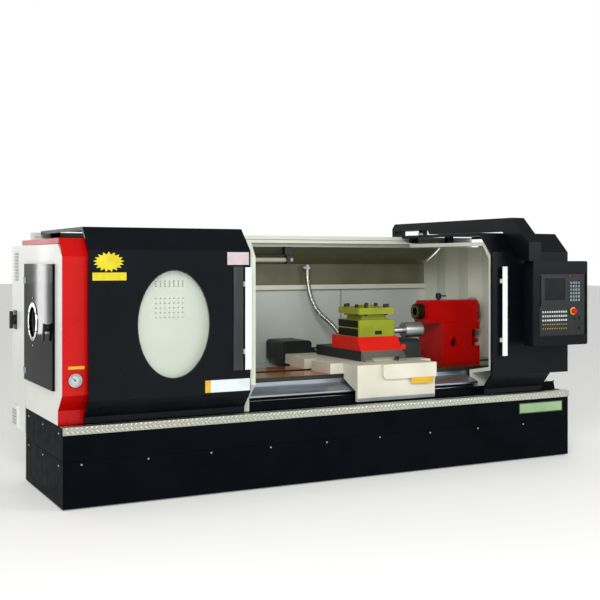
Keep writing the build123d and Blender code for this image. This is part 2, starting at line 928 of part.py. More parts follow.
def make_end_door():
    door = block((-end_door_gap - end_door_sheet, -end_door_gap),
                 (frame_open_front - end_door_lap, frame_open_back + end_door_lap),
                 (frame_open_low - end_door_lap, frame_open_high + end_door_lap))
    hole = rod_x(bar_hole_radius, -end_door_gap - end_door_sheet - 1, 0, axis_y, axis_height)
    door -= hole
    for z in (end_hinge_low, end_hinge_high):
        y = frame_open_back + end_door_lap + end_hinge_radius
        x = -end_door_gap - end_door_sheet / 2
        knuckle = rod_z(end_hinge_radius, z - end_hinge_length / 2, z, x, y)
        leaf = block((x - 5, x + 2), (frame_open_back - 20, y), (z - end_hinge_length / 2, z))
        door += knuckle + leaf
    return door


def make_end_hinges():
    hinges = []
    for z in (end_hinge_low, end_hinge_high):
        y = frame_open_back + end_door_lap + end_hinge_radius
        x = -end_door_gap - end_door_sheet / 2
        knuckle = rod_z(end_hinge_radius, z + slide_gap, z + end_hinge_length / 2, x, y)
        leaf = block((x, 1), (y, y + 26), (z + slide_gap, z + end_hinge_length / 2))
        hinges.append(knuckle + leaf)
    return hinges


def make_ring():
    start = -end_door_gap - end_door_sheet - ring_thickness
    outer = rod_x(ring_radius, start, start + ring_thickness, axis_y, axis_height)
    return outer - rod_x(bar_hole_radius, start - 1, start + ring_thickness + 1, axis_y, axis_height)


def make_latch():
    face = -end_door_gap - end_door_sheet
    hub = rod_x(latch_radius, face - 16, face - slide_gap, latch_y, latch_height)
    grip = Pos(face - 22, latch_y + 14, latch_height - latch_grip_length / 4) * Rot(14, 0, 0) * \
        Box(12, 20, latch_grip_length)
    return hub + chamfer(grip.edges().filter_by(Axis.X), 5)


parts["end_frame"] = make_end_frame()
parts["end_door"] = make_end_door()
parts["end_door_ring"] = make_ring()
parts["end_door_latch"] = make_latch()


# Pressure gauge: a cased dial with a needle on a pin
def make_gauge():
    face = guard_face_y
    case = rod_y(gauge_radius, face - gauge_depth, face, gauge_x, gauge_height)
    well = rod_y(gauge_radius - 5, face - gauge_depth - 1, face - gauge_depth + 10, gauge_x, gauge_height)
    pin = rod_y(2.0, face - gauge_depth + 6, face - gauge_depth + 11, gauge_x, gauge_height)
    return case - well + pin


def make_needle():
    y = guard_face_y - gauge_depth + 8.6
    hub = block((gauge_x - 5, gauge_x + 5), (y - 1.2, y), (gauge_height - 5, gauge_height + 5))
    hub -= rod_y(2.05, y - 2, y + 1, gauge_x, gauge_height)
    blade = Pos(gauge_x, y - 0.6, gauge_height) * Rot(0, -45, 0) * Pos(0, 0, needle_length / 2 + 2) * \
        Box(3, 1.2, needle_length - 6)
    return hub + blade


parts["pressure_gauge"] = make_gauge()
parts["gauge_needle"] = make_needle()


# Electrical cabinet with its door, vent box and rotary switch
def make_cabinet():
    shell = block((0, cabinet_length), (cabinet_front, cabinet_back), (cabinet_low, cabinet_high))
    shell -= block((cabinet_sheet, cabinet_length - cabinet_sheet),
                   (cabinet_front + cabinet_sheet, cabinet_back + 1),
                   (cabinet_low + cabinet_sheet, cabinet_high - cabinet_sheet))
    plate = block((60, cabinet_length - 60), (cabinet_front + 30, cabinet_front + 34),
                  (cabinet_low + 80, cabinet_high - 80))
    struts = [block((x, x + 20), (cabinet_front, cabinet_front + 32), (cabinet_low + 80, cabinet_high - 80))
              for x in (60, cabinet_length - 80)]
    vent = block((-vent_box_depth, 0), (cabinet_front + 170, cabinet_back - 60),
                 (cabinet_low + 10, cabinet_low + 10 + vent_box_height))
    bracket = block((60, cabinet_length - 60), (base_depth, cabinet_back - 40),
                    (cabinet_low - 40, cabinet_low))
    gusset = block((60, cabinet_length - 60), (base_depth, cabinet_front + 1),
                   (cabinet_low - 40, cabinet_low + 30))
    cabinet = shell + plate + struts[0] + struts[1] + vent + bracket + gusset
    for pin in make_cabinet_hinges():
        cabinet += pin
    return cabinet


def make_cabinet_door():
    y = cabinet_back + cabinet_door_gap
    door = block((6, cabinet_length - 6), (y, y + cabinet_door_sheet), (cabinet_low + 6, cabinet_high - 6))
    knuckles = door
    for z in (cabinet_low + 150, cabinet_high - 150):
        knuckles += rod_z(cabinet_hinge_radius, z - 40, z, cabinet_length + 4, y + 4)
        knuckles += block((cabinet_length - 30, cabinet_length + 4), (y, y + 4), (z - 40, z))
    return knuckles


def make_cabinet_hinges():
    y = cabinet_back + cabinet_door_gap
    pins = []
    for z in (cabinet_low + 150, cabinet_high - 150):
        pin = rod_z(cabinet_hinge_radius, z + slide_gap, z + 40, cabinet_length + 4, y + 4)
        leaf = block((cabinet_length - 1, cabinet_length + 6), (cabinet_back - 30, y + 4),
                     (z + slide_gap, z + 40))
        pins.append(pin + leaf)
    return pins


def make_switch():
    y = (cabinet_front + cabinet_back) / 2 + switch_inset
    hub = rod_x(switch_radius, -18, -slide_gap, y, switch_height)
    grip = block((-40, -18), (y - 13, y + 13), (switch_height - switch_grip / 2, switch_height + switch_grip / 2))
    return hub + chamfer(grip.edges().filter_by(Axis.X), 7)


parts["electrical_cabinet"] = make_cabinet()
parts["cabinet_door"] = make_cabinet_door()
parts["cabinet_switch"] = make_switch()


# Rear frame: the top beam with the doors' ledge, the rear rail and the back guard
def make_rear_frame():
    frame = block((beam_left, tail_guard_end), (beam_front, beam_back), (beam_low, beam_high))
    frame += block((beam_left, tail_guard_end), (ledge_front, beam_front),
                   (ledge_height - ledge_sheet, ledge_height))
    for x in (beam_left, cabinet_length - 80):
        frame += block((x, x + 60), (beam_front, beam_back), (cabinet_high, beam_low))
    y = back_wall_y + back_sheet + rear_rail_gap
    high = rear_rail_height + rear_rail_size
    frame += block((rear_rail_start, tail_guard_end), (y, y + rear_rail_size), (rear_rail_height, high))
    span = back_guard_end - rear_rail_start - 2 * rear_post_width
    for i in range(rear_post_count):
        x = rear_rail_start + rear_post_width / 2 + i * span / (rear_post_count - 1)
        frame += block((x, x + rear_post_width), (back_wall_y + back_sheet, y + 1),
                       (rear_rail_height, high))
        frame += fold([(beam_back - 2, beam_low + 62), (y + 8, high - 8)], 26, x, x + rear_post_width)
    return frame


def make_back_guard():
    line = [(beam_back - 30, beam_low - back_sheet), (back_wall_y, back_slope_height), (back_wall_y, back_ledge_height),
            (back_wall_y - 26, back_ledge_height), (back_wall_y - 26, back_ledge_height - 20),
            (back_wall_y, back_ledge_height - 20), (back_wall_y, back_low_height),
            (base_depth + 40, back_floor_height), (base_depth, base_height)]
    return fold(line, back_sheet, back_guard_start, back_guard_end)


def make_partition():
    count = int((back_wall_y - partition_front) / partition_fold_pitch)
    left = back_guard_end - partition_inset
    points = []
    for i in range(count + 1):
        y = partition_front + i * (back_wall_y - partition_front - 30) / count
        points.append((left + (partition_fold if i % 2 else 0), y))
    far = [(x + guard_sheet, y) for x, y in points][::-1]
    sheet = extrude(Plane.XY.offset(partition_low) * make_face(Polyline(*(points + far), close=True)),
                    beam_low - partition_low)
    slope = bar([(beam_back - 60, beam_low + 1), (back_wall_y + 40, back_slope_height - 40),
                 (back_wall_y + 40, beam_low + 1)], left - 30, left + 60)
    return sheet - slope


parts["rear_frame"] = make_rear_frame()
parts["back_guard"] = make_back_guard()
parts["tail_guard"] = [make_tail_guard(), make_partition()]


# Sliding doors
door_line = [(door_roof_back, door_roof_height), (door_roof_y, door_roof_height),
             (guard_face_y - door_gap, door_face_high), (guard_face_y - door_gap, door_face_low),
             (door_foot_y, door_foot_top), (door_foot_y, door_foot_low)]
door_face_y = guard_face_y - door_gap


def oval(extra):
    return Ellipse(window_half_width + extra, window_half_height + extra)


def through_face(shape, start, end):
    """A flat shape set on the door's front plane and run back through Y."""
    plane = Plane(origin=(window_x, start, window_height), x_dir=(1, 0, 0), z_dir=(0, -1, 0))
    return extrude(plane * shape, start - end)


def door_shoes(start, end):
    """Nylon shoes under the roof and behind the foot, on the ledge and the floor rail."""
    shoes = []
    for x in (start + 60, end - 120):
        shoes.append(block((x, x + 60), (ledge_front + 10, ledge_front + 50),
                           (ledge_height + slide_gap, door_roof_height - door_sheet)))
        shoes.append(block((x, x + 60), (door_foot_y + door_sheet, door_rail_front + door_rail_width),
                           (base_height + door_rail_height + slide_gap, door_foot_top - 8)))
    return shoes


def make_left_door():
    door = flanged(door_line, door_sheet, door_edge, left_door_start, left_door_end)
    door -= through_face(oval(0), door_face_y - 1, door_face_y + door_sheet + 1)
    for shoe in door_shoes(left_door_start, left_door_end):
        door += shoe
    return door


def make_right_door():
    upper = door_line[:4]
    door = flanged(upper, door_sheet, door_edge, right_door_start, right_door_end)
    lip = [(door_face_y, door_face_low), (door_face_y + door_edge, door_face_low)]
    door += fold([(y, z) for y, z in lip][::-1], -door_sheet, right_foot_end, right_door_end)
    door += flanged(door_line[3:], door_sheet, door_edge, right_door_start, right_foot_end)
    for shoe in door_shoes(right_door_start, right_foot_end):
        door += shoe
    return door


def make_pane():
    return through_face(oval(window_lap), door_face_y + door_sheet + slide_gap,
                        door_face_y + door_sheet + slide_gap + window_sheet)


def make_handle(x):
    front = door_face_y - handle_standoff - handle_sheet
    grip = block((x - handle_width / 2, x + handle_width / 2), (front, front + handle_sheet),
                 (handle_low, handle_high))
    grip = chamfer(grip.edges().filter_by(Axis.Z), 3)
    for z in (handle_arm_low, handle_arm_high):
        arm = block((x - handle_width / 2, x), (front + handle_sheet - 1, door_face_y),
                    (z - handle_arm_height / 2, z + handle_arm_height / 2))
        grip += arm
    return grip


parts["left_door"] = make_left_door()
parts["door_window"] = make_pane()
parts["left_door_handle"] = make_handle(left_handle_x)
parts["right_door"] = make_right_door()
parts["right_door_handle"] = make_handle(right_handle_x)


# Travelling arm with its roller, and the control box that it carries
def make_arm():
    outline = [(arm_back, rear_rail_height - shoe_size), (arm_back, arm_top - 40), (arm_back - 40, arm_top),
               (arm_chamfer_start, arm_top), (arm_front, arm_chamfer_low), (arm_front, box_high),
               (arm_inner_front, box_high), (arm_inner_front, arm_inner_chamfer_low),
               (arm_inner_chamfer_y, arm_under), (arm_step, arm_under), (arm_step + 20, arm_under_rear),
               (arm_back - arm_leg, arm_under_rear), (arm_back - arm_leg, rear_rail_height - shoe_size)]
    arm = bar(outline, arm_start, arm_start + arm_width)
    rail_y = back_wall_y + back_sheet + rear_rail_gap
    arm += block((arm_start, arm_start + arm_width), (rail_y + 5, arm_back),
                 (rear_rail_height - shoe_size, rear_rail_height - slide_gap))
    x = arm_start + arm_width / 2
    middle = (beam_front + beam_back) / 2
    pocket_half = roller_length / 2 + 2
    arm -= block((x - roller_radius - 3, x + roller_radius + 3), (middle - pocket_half, middle + pocket_half),
                 (arm_under_rear - 1, beam_high + 2 * roller_radius + 4))
    for y in (middle - pocket_half - 8, middle + pocket_half):
        ear = block((x - 16, x + 16), (y, y + 8), (beam_high + roller_radius - 12, arm_under_rear + 1))
        arm += ear
    arm += rod_y(roller_axle_radius, middle - pocket_half - 8, middle + pocket_half + 8, x,
                 beam_high + roller_radius + slide_gap)
    return arm


def make_roller():
    x = arm_start + arm_width / 2
    z = beam_high + roller_radius + slide_gap
    middle = (beam_front + beam_back) / 2
    wheel = rod_y(roller_radius, middle - roller_length / 2, middle + roller_length / 2, x, z)
    return wheel - rod_y(roller_axle_radius + screw_fit, middle - roller_length / 2 - 1,
                         middle + roller_length / 2 + 1, x, z)


def make_control_box():
    box = block((box_left, box_right), (arm_front, box_back), (box_low, box_high))
    box = chamfer(box.edges().filter_by(Axis.Y), box_corner)
    box -= block((panel_left, panel_right), (arm_front - 1, arm_front + panel_recess + panel_sheet),
                 (panel_low, panel_high))
    box -= rod_y(stop_stem_radius + 1, arm_front, arm_front + 40, stop_x, stop_height)
    return box


def make_panel():
    back = arm_front + panel_recess + panel_sheet
    plate = block((panel_left + slide_gap, panel_right - slide_gap), (back - panel_sheet, back),
                  (panel_low + slide_gap, panel_high - slide_gap))
    collar = rod_y(stop_collar_radius, back - panel_sheet - 3, back - panel_sheet, stop_x, stop_height)
    plate += collar
    plate -= rod_y(stop_stem_radius + 1, back - 20, back + 1, stop_x, stop_height)
    keys = [Pos(pad_left + pad_key / 2 + column * pad_pitch, 0, pad_low + pad_key / 2 + row * pad_pitch)
            * Box(pad_key, 2 * key_proud, pad_key)
            for column in range(pad_columns) for row in range(pad_rows)]
    return plate + [Pos(0, back - panel_sheet, 0) * key for key in keys]


def make_screen():
    back = arm_front + panel_recess
    unit = block((screen_left, screen_right), (back - screen_proud, back), (screen_low, screen_high))
    unit -= block((screen_left + glass_inset, screen_right - glass_inset),
                  (back - screen_proud - 1, back - screen_proud + 2),
                  (screen_low + glass_inset * 1.2, screen_high - glass_inset * 0.6))
    return unit


def make_stop_button():
    plate = arm_front + panel_recess
    under = plate - 3 - stop_travel - stop_gap
    cap = rod_y(stop_radius, under - 14, under, stop_x, stop_height)
    stem = rod_y(stop_stem_radius, under - 1, plate + 18, stop_x, stop_height)
    return cap + stem


parts["gantry_arm"] = make_arm()
parts["gantry_roller"] = make_roller()
parts["control_box"] = make_control_box()
parts["control_panel"] = make_panel()
parts["screen_unit"] = make_screen()
parts["stop_button"] = make_stop_button()


# Carriage: apron, saddle with four wings and the nut of the long screw
def make_carriage():
    cover = beside(cover_line[::-1], -cover_clearance)
    ride = bed_top + slide_gap
    inner = front_way_start - 12
    keeper = rear_way_end + keeper_gap
    outline = [(apron_front, apron_low), (apron_front + apron_wall, apron_low),
               (apron_front + apron_wall, cover[1][1] + 8), (rail_cover_front - 10, cover[1][1] + 20),
               (inner, rail_cover_high + 24), (inner, ride), (keeper, ride), (keeper, ride - keeper_drop),
               (keeper + keeper_wall, ride - keeper_drop), (keeper + keeper_wall, saddle_top),
               (apron_front, saddle_top)]
    body = bar(outline, carriage_left, carriage_right)
    for x in (carriage_left - wing_length, carriage_right):
        for start, width in ((front_way_start, front_way_width), (rear_way_start, rear_way_width)):
            body += block((x, x + wing_length), (start, start + width), (ride, saddle_top))
    boss = block((boss_left, carriage_right), (apron_front - boss_proud, apron_front + 1),
                 (boss_low, saddle_top))
    boss = fillet(boss.edges().filter_by(Axis.Y).sort_by(Axis.X)[:2].sort_by(Axis.Z)[:1], boss_radius)
    body += boss
    nut_left = carriage_middle - nut_length / 2
    arm = block((nut_left, nut_left + nut_length), (apron_front + apron_wall - 1, screw_y),
                (screw_height + nut_radius / 2, screw_height + nut_radius / 2 + 14))
    eye = rod_x(nut_radius, nut_left, nut_left + nut_length, screw_y, screw_height)
    hole = rod_x(screw_radius + screw_fit, nut_left - 1, nut_left + nut_length + 1, screw_y, screw_height)
    body += arm + eye
    body -= hole
    middle = (slide_left + slide_right) / 2
    tail = [(middle - dovetail_width / 2, saddle_top - 1), (middle + dovetail_width / 2, saddle_top - 1),
            (middle + dovetail_width / 2 + dovetail_flare, saddle_top + dovetail_height),
            (middle - dovetail_width / 2 - dovetail_flare, saddle_top + dovetail_height)]
    face = make_face(Polyline(*[(x, slide_front + slide_nose, z) for x, z in tail], close=True))
    body += extrude(face, cross_motor_front - slide_front - slide_nose, dir=(0, 1, 0))
    shelf = block((cross_motor_left + 20, slide_right), (keeper + keeper_wall - 1, cross_motor_front),
                  (ride, saddle_top))
    return body + shelf


def make_servo():
    right = tub_left - 2 * base_sheet
    half = servo_size / 2
    body = block((right - servo_length, right), (screw_y - half, screw_y + half),
                 (screw_height - half, screw_height + half))
    return chamfer(body.edges().filter_by(Axis.X), 10)


def make_long_screw():
    return rod_x(screw_radius, tub_left - 2 * base_sheet + slide_gap, screw_right + 10, screw_y,
                 screw_height)


parts["carriage"] = make_carriage()
parts["carriage_servo"] = make_servo()
parts["long_screw"] = make_long_screw()


# Cross slide on its dovetail, with the hood behind it and the motor on the saddle
def make_cross_slide():
    side = [(slide_front, saddle_top + slide_gap), (slide_front + 8, saddle_top + 14),
            (slide_front + slide_nose, slide_top), (slide_back, slide_top),
            (slide_back, saddle_top + slide_gap)]
    slide = bar(side, slide_left + hood_sheet, slide_right - hood_sheet)
    middle = (slide_left + slide_right) / 2
    gap = dovetail_gap
    low = saddle_top - 1
    high = saddle_top + dovetail_height + gap
    narrow = dovetail_width / 2 + gap
    wide = narrow + dovetail_flare + gap
    groove = make_face(Polyline(*[(x, slide_front - 1, z) for x, z in (
        (middle - narrow, low), (middle + narrow, low), (middle + wide, high), (middle - wide, high))],
        close=True))
    return slide - extrude(groove, slide_back - slide_front + 2, dir=(0, 1, 0))


def make_hood():
    left = block((slide_left, slide_left + hood_sheet), (slide_front + slide_nose, slide_back),
                 (saddle_top + 2, slide_top))
    right = block((slide_right - hood_sheet, slide_right), (slide_front + slide_nose, slide_back),
                  (saddle_top + 2, slide_top))
    top = block((slide_left, slide_right), (base_block_back + 10, slide_back),
                (slide_top, slide_top + hood_sheet))
    outline = [(cable_cover_front, saddle_top + 2), (cable_cover_front + 14, cable_cover_top - 20),
               (cable_cover_front + 34, cable_cover_top), (cable_cover_back, cable_cover_top),
               (cable_cover_back, saddle_top + 2)]
    side_box = bar(outline, base_block_right + base_step_width + 1, cable_cover_end)
    web = block((slide_right - 1, base_block_right + base_step_width + 2), (cable_cover_front + 20, cable_cover_back),
                (saddle_top + 2, slide_top - 6))
    return left + right + top + web + side_box


def make_cross_motor():
    outline = Plane(origin=(cross_motor_left, cross_motor_front, cross_motor_low), x_dir=(1, 0, 0),
                    z_dir=(0, -1, 0))
    body = block((cross_motor_left, cross_motor_left + cross_motor_width),
                 (cross_motor_front, cross_motor_back), (cross_motor_low, cross_motor_high))
    edge = body.edges().filter_by(Axis.Y).sort_by(Axis.Z)[-2:]
    body = fillet(edge, cross_motor_round / 2)
    fin = block((cross_motor_left + 40, slide_right), (cross_motor_front, cross_motor_front + 40),
                (cross_motor_low, saddle_top + 40))
    return body + fin


parts["cross_slide"] = make_cross_slide()
parts["slide_hood"] = make_hood()
parts["cross_motor"] = make_cross_motor()


# Four-station turret on its red base
def make_turret_base():
    side = [(base_block_front, slide_top), (base_block_back, slide_top),
            (base_block_back, base_block_top), (base_block_front + base_block_slope, base_block_top)]
    body = bar(side, base_block_left, base_block_right)
    step = block((base_block_right - 1, base_block_right + base_step_width), (base_block_front + 10, base_block_back),
                 (slide_top, slide_top + base_step_height))
    return body + step


def square_column(size, low, high):
    column = block((turret_x - size / 2, turret_x + size / 2), (turret_y - size / 2, turret_y + size / 2),
                   (low, high))
    return chamfer(column.edges().filter_by(Axis.Z), turret_corner)


def tool_screw_places():
    reach = turret_size / 2 - turret_slot_depth / 2
    places = []
    for side in range(4):
        turn = math.radians(90 * side)
        for along in (-tool_screw_spread, tool_screw_spread):
            x = reach * math.cos(turn) - along * turret_size * math.sin(turn)
            y = reach * math.sin(turn) + along * turret_size * math.cos(turn)
            places.append((turret_x + x, turret_y + y))
    return places


def screw_shank(radius, low, high, x, y):
    return extrude(Plane.XY.offset(low) * Pos(x, y) * RegularPolygon(radius, tool_screw_sides), high - low)


def make_turret_body():
    return square_column(turret_size, base_block_top, turret_body_top)


def make_turret_head():
    lower = square_column(turret_size, turret_body_top + turret_gap, turret_slot_low)
    core = square_column(turret_size - 2 * turret_slot_depth, turret_slot_low, turret_slot_high)
    upper = square_column(turret_size, turret_slot_high, turret_top)
    cap = rod_z(60, turret_top, turret_top + 14, turret_x, turret_y)
    head = lower + core + upper + cap
    for x, y in tool_screw_places():
        head -= screw_shank(tool_screw_radius + tool_screw_clear, turret_slot_high - 1, turret_top + 1, x, y)
    return head


def make_tool_screws():
    screws = []
    for x, y in tool_screw_places():
        shank = screw_shank(tool_screw_radius, turret_slot_high - 12, turret_top + 2, x, y)
        head = block((x - tool_screw_head / 2, x + tool_screw_head / 2),
                     (y - tool_screw_head / 2, y + tool_screw_head / 2),
                     (turret_top + slide_gap, turret_top + tool_screw_rise))
        screws.append(shank + head)
    return screws


def make_turret_motor():
    neck = rod_x(turret_neck_radius, turret_x + turret_size / 2, turret_motor_start,
                 turret_motor_y, turret_motor_height)
    body = rod_x(turret_motor_radius, turret_motor_start, turret_motor_end, turret_motor_y,
                 turret_motor_height)
    return neck + body


parts["turret_base"] = make_turret_base()
parts["turret_body"] = make_turret_body()
parts["turret_head"] = make_turret_head()
parts["tool_screws"] = make_tool_screws()
parts["turret_motor"] = make_turret_motor()


# Tailstock with its quill, handwheel and clamp lever
def make_tailstock():
    lower = block((tail_left, tail_right), (tail_front, tail_back), (bed_top + slide_gap, barrel_low))
    pocket = block((pocket_left, tail_right + 1), (tail_front - 1, tail_front + pocket_depth),
                   (pocket_low, pocket_high))
    drop = Plane(origin=(drop_x, tail_front - 1, drop_height), x_dir=(1, 0, 0), z_dir=(0, -1, 0))
    side = drop_radius * math.sqrt(1 - (drop_radius / drop_point) ** 2)
    touch = (side, drop_radius ** 2 / drop_point)
    tip = make_face(Polyline((-touch[0], touch[1]), (0, drop_point), touch, close=True))
    hole = extrude(drop * (Circle(drop_radius) + tip), -pocket_depth / 2)
    bolt = rod_y(clamp_bolt_radius, tail_front + 6, tail_front + pocket_depth + 1, pocket_left + 48,
                 pocket_low + 40)
    tongue = block((tail_left, tail_right), (front_way_end + 2, rear_way_start - 2),
                   (bed_top - 30, bed_top + slide_gap + 1))
    return lower - pocket - hole + bolt + tongue


def make_barrel():
    front = tail_front + 26
    back = axis_y + barrel_half_width
    outline = [(front, barrel_low), (back, barrel_low), (back, tail_top - 30), (back - 30, tail_top),
               (front + 6, tail_top), (front, tail_top - 6)]
    barrel = bar(outline, barrel_left, tail_right)
    barrel -= rod_x(quill_radius + quill_fit, barrel_left - 1, quill_end + 40, axis_y, axis_height)
    barrel -= rod_x(tail_screw_radius + quill_fit, quill_end, tail_right + 1, axis_y, axis_height)
    return barrel


def make_quill():
    return turned([(quill_nose, taper_mouth_radius), (quill_nose, quill_radius), (quill_end, quill_radius),
                   (quill_end, quill_bore_radius), (quill_nose + taper_depth, quill_bore_radius),
                   (quill_nose + taper_depth, taper_end_radius)])


def make_handwheel():
    start = tail_right + wheel_gap
    screw = rod_x(tail_screw_radius, quill_nose + taper_depth + 60, start, axis_y, axis_height)
    hub = rod_x(wheel_hub_radius, start, start + wheel_hub_length, axis_y, axis_height)
    rim_face = Plane(origin=(start + wheel_rim, axis_y + wheel_radius - wheel_rim, axis_height),
                     x_dir=(1, 0, 0), z_dir=(0, 0, 1)) * RegularPolygon(wheel_rim, 5)
    rim = revolve(rim_face, Axis((0, axis_y, axis_height), (1, 0, 0)))
    wheel = screw + hub + rim
    for i in range(wheel_spokes):
        spoke = block((start + wheel_rim - 5, start + wheel_rim + 5), (axis_y - 8, axis_y + 8),
                      (axis_height + wheel_hub_radius - 2, axis_height + wheel_radius - wheel_rim))
        wheel += at_angle(spoke, i * 360 / wheel_spokes)
    return wheel


def make_clamp_lever():
    post = rod_z(lever_post_radius, tail_top + slide_gap, tail_top + lever_knob_height / 2, lever_x, axis_y)
    knob = rod_z(lever_knob_radius, tail_top + 10, tail_top + 10 + lever_knob_height, lever_x, axis_y)
    knob = chamfer(knob.edges().filter_by(GeomType.CIRCLE).sort_by(Axis.Z)[-1], 8)
    arm = block((lever_x, lever_x + 70), (axis_y - 5, axis_y + 5), (tail_top + 26, tail_top + 36))
    return post + knob + arm


parts["tailstock_base"] = make_tailstock()
parts["tailstock_barrel"] = make_barrel()
parts["quill"] = make_quill()
parts["tailstock_handwheel"] = make_handwheel()
parts["clamp_lever"] = make_clamp_lever()


# Work lamp on its clamp, and the coolant hose from its fitting to the carriage
def make_lamp():
    tube = rod_x(lamp_radius, lamp_left, lamp_right, lamp_y, lamp_height)
    return tube


def make_lamp_clamp():
    x = lamp_right - 30
    size = lamp_clamp_size
    arm = block((x - 30, x), (lamp_y - 10, lamp_y + 10), (lamp_height + lamp_radius, beam_low))
    reach = lamp_radius + 14
    eye = block((x - 30, x), (lamp_y - reach, lamp_y + reach), (lamp_height - reach, lamp_height + reach))
    hole = rod_x(lamp_radius + 0.1, x - 31, x + 1, lamp_y, lamp_height)
    head = block((x - size / 2 - 15, x + size / 2 - 15), (lamp_y - 28, lamp_y + 20),
                 (beam_low - 60, beam_low))
    return arm + eye + head - hole


hose_points = [(hose_x, hose_y, fitting_low - slide_gap), (hose_x, hose_y, 1110),
               (hose_x + hose_lead, cross_motor_front + 50, 895),
               (hose_x + hose_lead, cross_motor_front + 25, saddle_top + 44)]


def make_hose():
    """Straight runs joined by tangent arcs, as large as the runs allow."""
    points = [Vector(*point) for point in hose_points]
    runs = [b - a for a, b in zip(points, points[1:])]
    room = [run.length * (0.9 if i in (0, len(runs) - 1) else 0.48) for i, run in enumerate(runs)]
    radii = []
    for i in range(len(runs) - 1):
        turn = math.radians(runs[i].get_angle(runs[i + 1]))
        radii.append(min(room[i], room[i + 1]) / math.tan(turn / 2))
    print("hose radii", [round(r) for r in radii])
    path = FilletPolyline(*hose_points, radius=radii)
    print("hose length", round(path.length))
    start = Plane(origin=path @ 0, z_dir=path % 0)
    return sweep(start * RegularPolygon(hose_radius, hose_sides), path)


def make_fitting():
    ring = rod_z(fitting_radius, fitting_low, fitting_low + fitting_length, hose_x, hose_y)
    nut = extrude(Plane.XY.offset(fitting_low + 8) * Pos(hose_x, hose_y) * RegularPolygon(fitting_radius + 8, 6), 16)
    lug = block((hose_x - 14, hose_x + 14), (hose_y, back_wall_y), (fitting_low + 8, fitting_low + 32))
    return ring + nut + lug


parts["work_lamp"] = [make_lamp(), make_lamp_clamp()]
parts["hose_fitting"] = make_fitting()
parts["coolant_hose"] = make_hose()


# Every piece is written with the origin under the centre of the whole machine's box
solids = {name: list(made) if isinstance(made, (list, tuple)) else [made]
          for name, made in parts.items()}
pieces = [piece for made in solids.values() for piece in made]
low_x = min(piece.bounding_box().min.X for piece in pieces)
high_x = max(piece.bounding_box().max.X for piece in pieces)
low_y = min(piece.bounding_box().min.Y for piece in pieces)
high_y = max(piece.bounding_box().max.Y for piece in pieces)
shift = Location((-(low_x + high_x) / 2, -(low_y + high_y) / 2, 0))
print("shift", -(low_x + high_x) / 2, -(low_y + high_y) / 2)

os.makedirs("parts", exist_ok=True)
for name, made in solids.items():
    flat = [solid for piece in made for solid in piece.solids()]
    whole = Compound(label=name, children=[solid.moved(shift) for solid in flat])
    export_step(whole, f"parts/{name}.step")
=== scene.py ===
import math

import bpy
from mathutils import Matrix, Vector


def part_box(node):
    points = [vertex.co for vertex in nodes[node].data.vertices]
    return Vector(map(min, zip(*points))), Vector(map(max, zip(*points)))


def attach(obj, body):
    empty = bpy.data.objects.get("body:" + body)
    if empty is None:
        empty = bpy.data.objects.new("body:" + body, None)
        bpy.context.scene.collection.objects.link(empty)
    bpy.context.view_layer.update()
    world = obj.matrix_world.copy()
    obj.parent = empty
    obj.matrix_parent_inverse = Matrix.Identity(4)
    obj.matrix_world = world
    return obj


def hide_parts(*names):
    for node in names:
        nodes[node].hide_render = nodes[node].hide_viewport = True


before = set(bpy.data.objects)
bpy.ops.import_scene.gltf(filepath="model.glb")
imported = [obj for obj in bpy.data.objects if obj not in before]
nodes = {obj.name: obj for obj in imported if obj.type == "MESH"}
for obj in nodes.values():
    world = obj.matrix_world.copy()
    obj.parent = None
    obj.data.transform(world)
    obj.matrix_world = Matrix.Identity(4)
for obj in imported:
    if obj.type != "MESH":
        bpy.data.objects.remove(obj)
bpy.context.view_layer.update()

# Camera: it stands in front of the left end, level with the gauge's top, and looks along the
# bed. The picture's horizon lies a little over its middle, so the lens is shifted down.
eye = bpy.data.cameras.new("camera")
eye.lens = 61.8
eye.sensor_width = 36.0
eye.shift_y = -0.065
eye.clip_end = 200
camera = bpy.data.objects.new("camera", eye)
camera.location = (-3.420, -6.635, 1.455)
camera.rotation_euler = (math.radians(90), 0, math.radians(-27.4))
bpy.context.scene.collection.objects.link(camera)
bpy.context.scene.camera = camera

# Coolant hose: interlocked stainless conduit, a strip wound into rings 8 mm apart. It hangs
# from a fitting on the back wall and bows forward into the cover of the cross drive.
hose_radius = 0.020
hose_groove = 0.0009
hose_ring = 0.008
ring_steps = 4
hose_sides = 24
hose_route = [(2340, 1396, 1384.7), (2340, 1396, 1110), (2533, 1180, 895), (2533, 1155, 786)]
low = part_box("base_shell")[0]
corner = Vector((low.x, low.y, 0))


def at(x, y, z):
    """A place on the drawing: millimetres from the base's front left corner on the floor."""
    return corner + Vector((x, y, z)) / 1000


def linear(code):
    """A colour as the eye sees it, turned to linear light."""
    shares = [int(code[i:i + 2], 16) / 255 for i in (1, 3, 5)]
    return [c / 12.92 if c <= 0.04045 else ((c + 0.055) / 1.055) ** 2.4 for c in shares] + [1]


def add_node(tree, kind, settings=None, feeds=None, into=None, stops=()):
    """Adds a node with its settings, what feeds it, what it goes into, and a ramp's stops."""
    node = tree.nodes.new(kind)
    for key, value in (settings or {}).items():
        if isinstance(key, int) or key in node.inputs:
            node.inputs[key].default_value = value
        else:
            setattr(node, key, value)
    for socket, (source, output) in (feeds or {}).items():
        tree.links.new(source.outputs[output], node.inputs[socket])
    for output, (target, socket) in (into or {}).items():
        tree.links.new(node.outputs[output], target.inputs[socket])
    for i, (where, code) in enumerate(stops):
        point = node.color_ramp.elements[i] if i < 2 else node.color_ramp.elements.new(where)
        point.position = where
        point.color = linear(code)
    return node


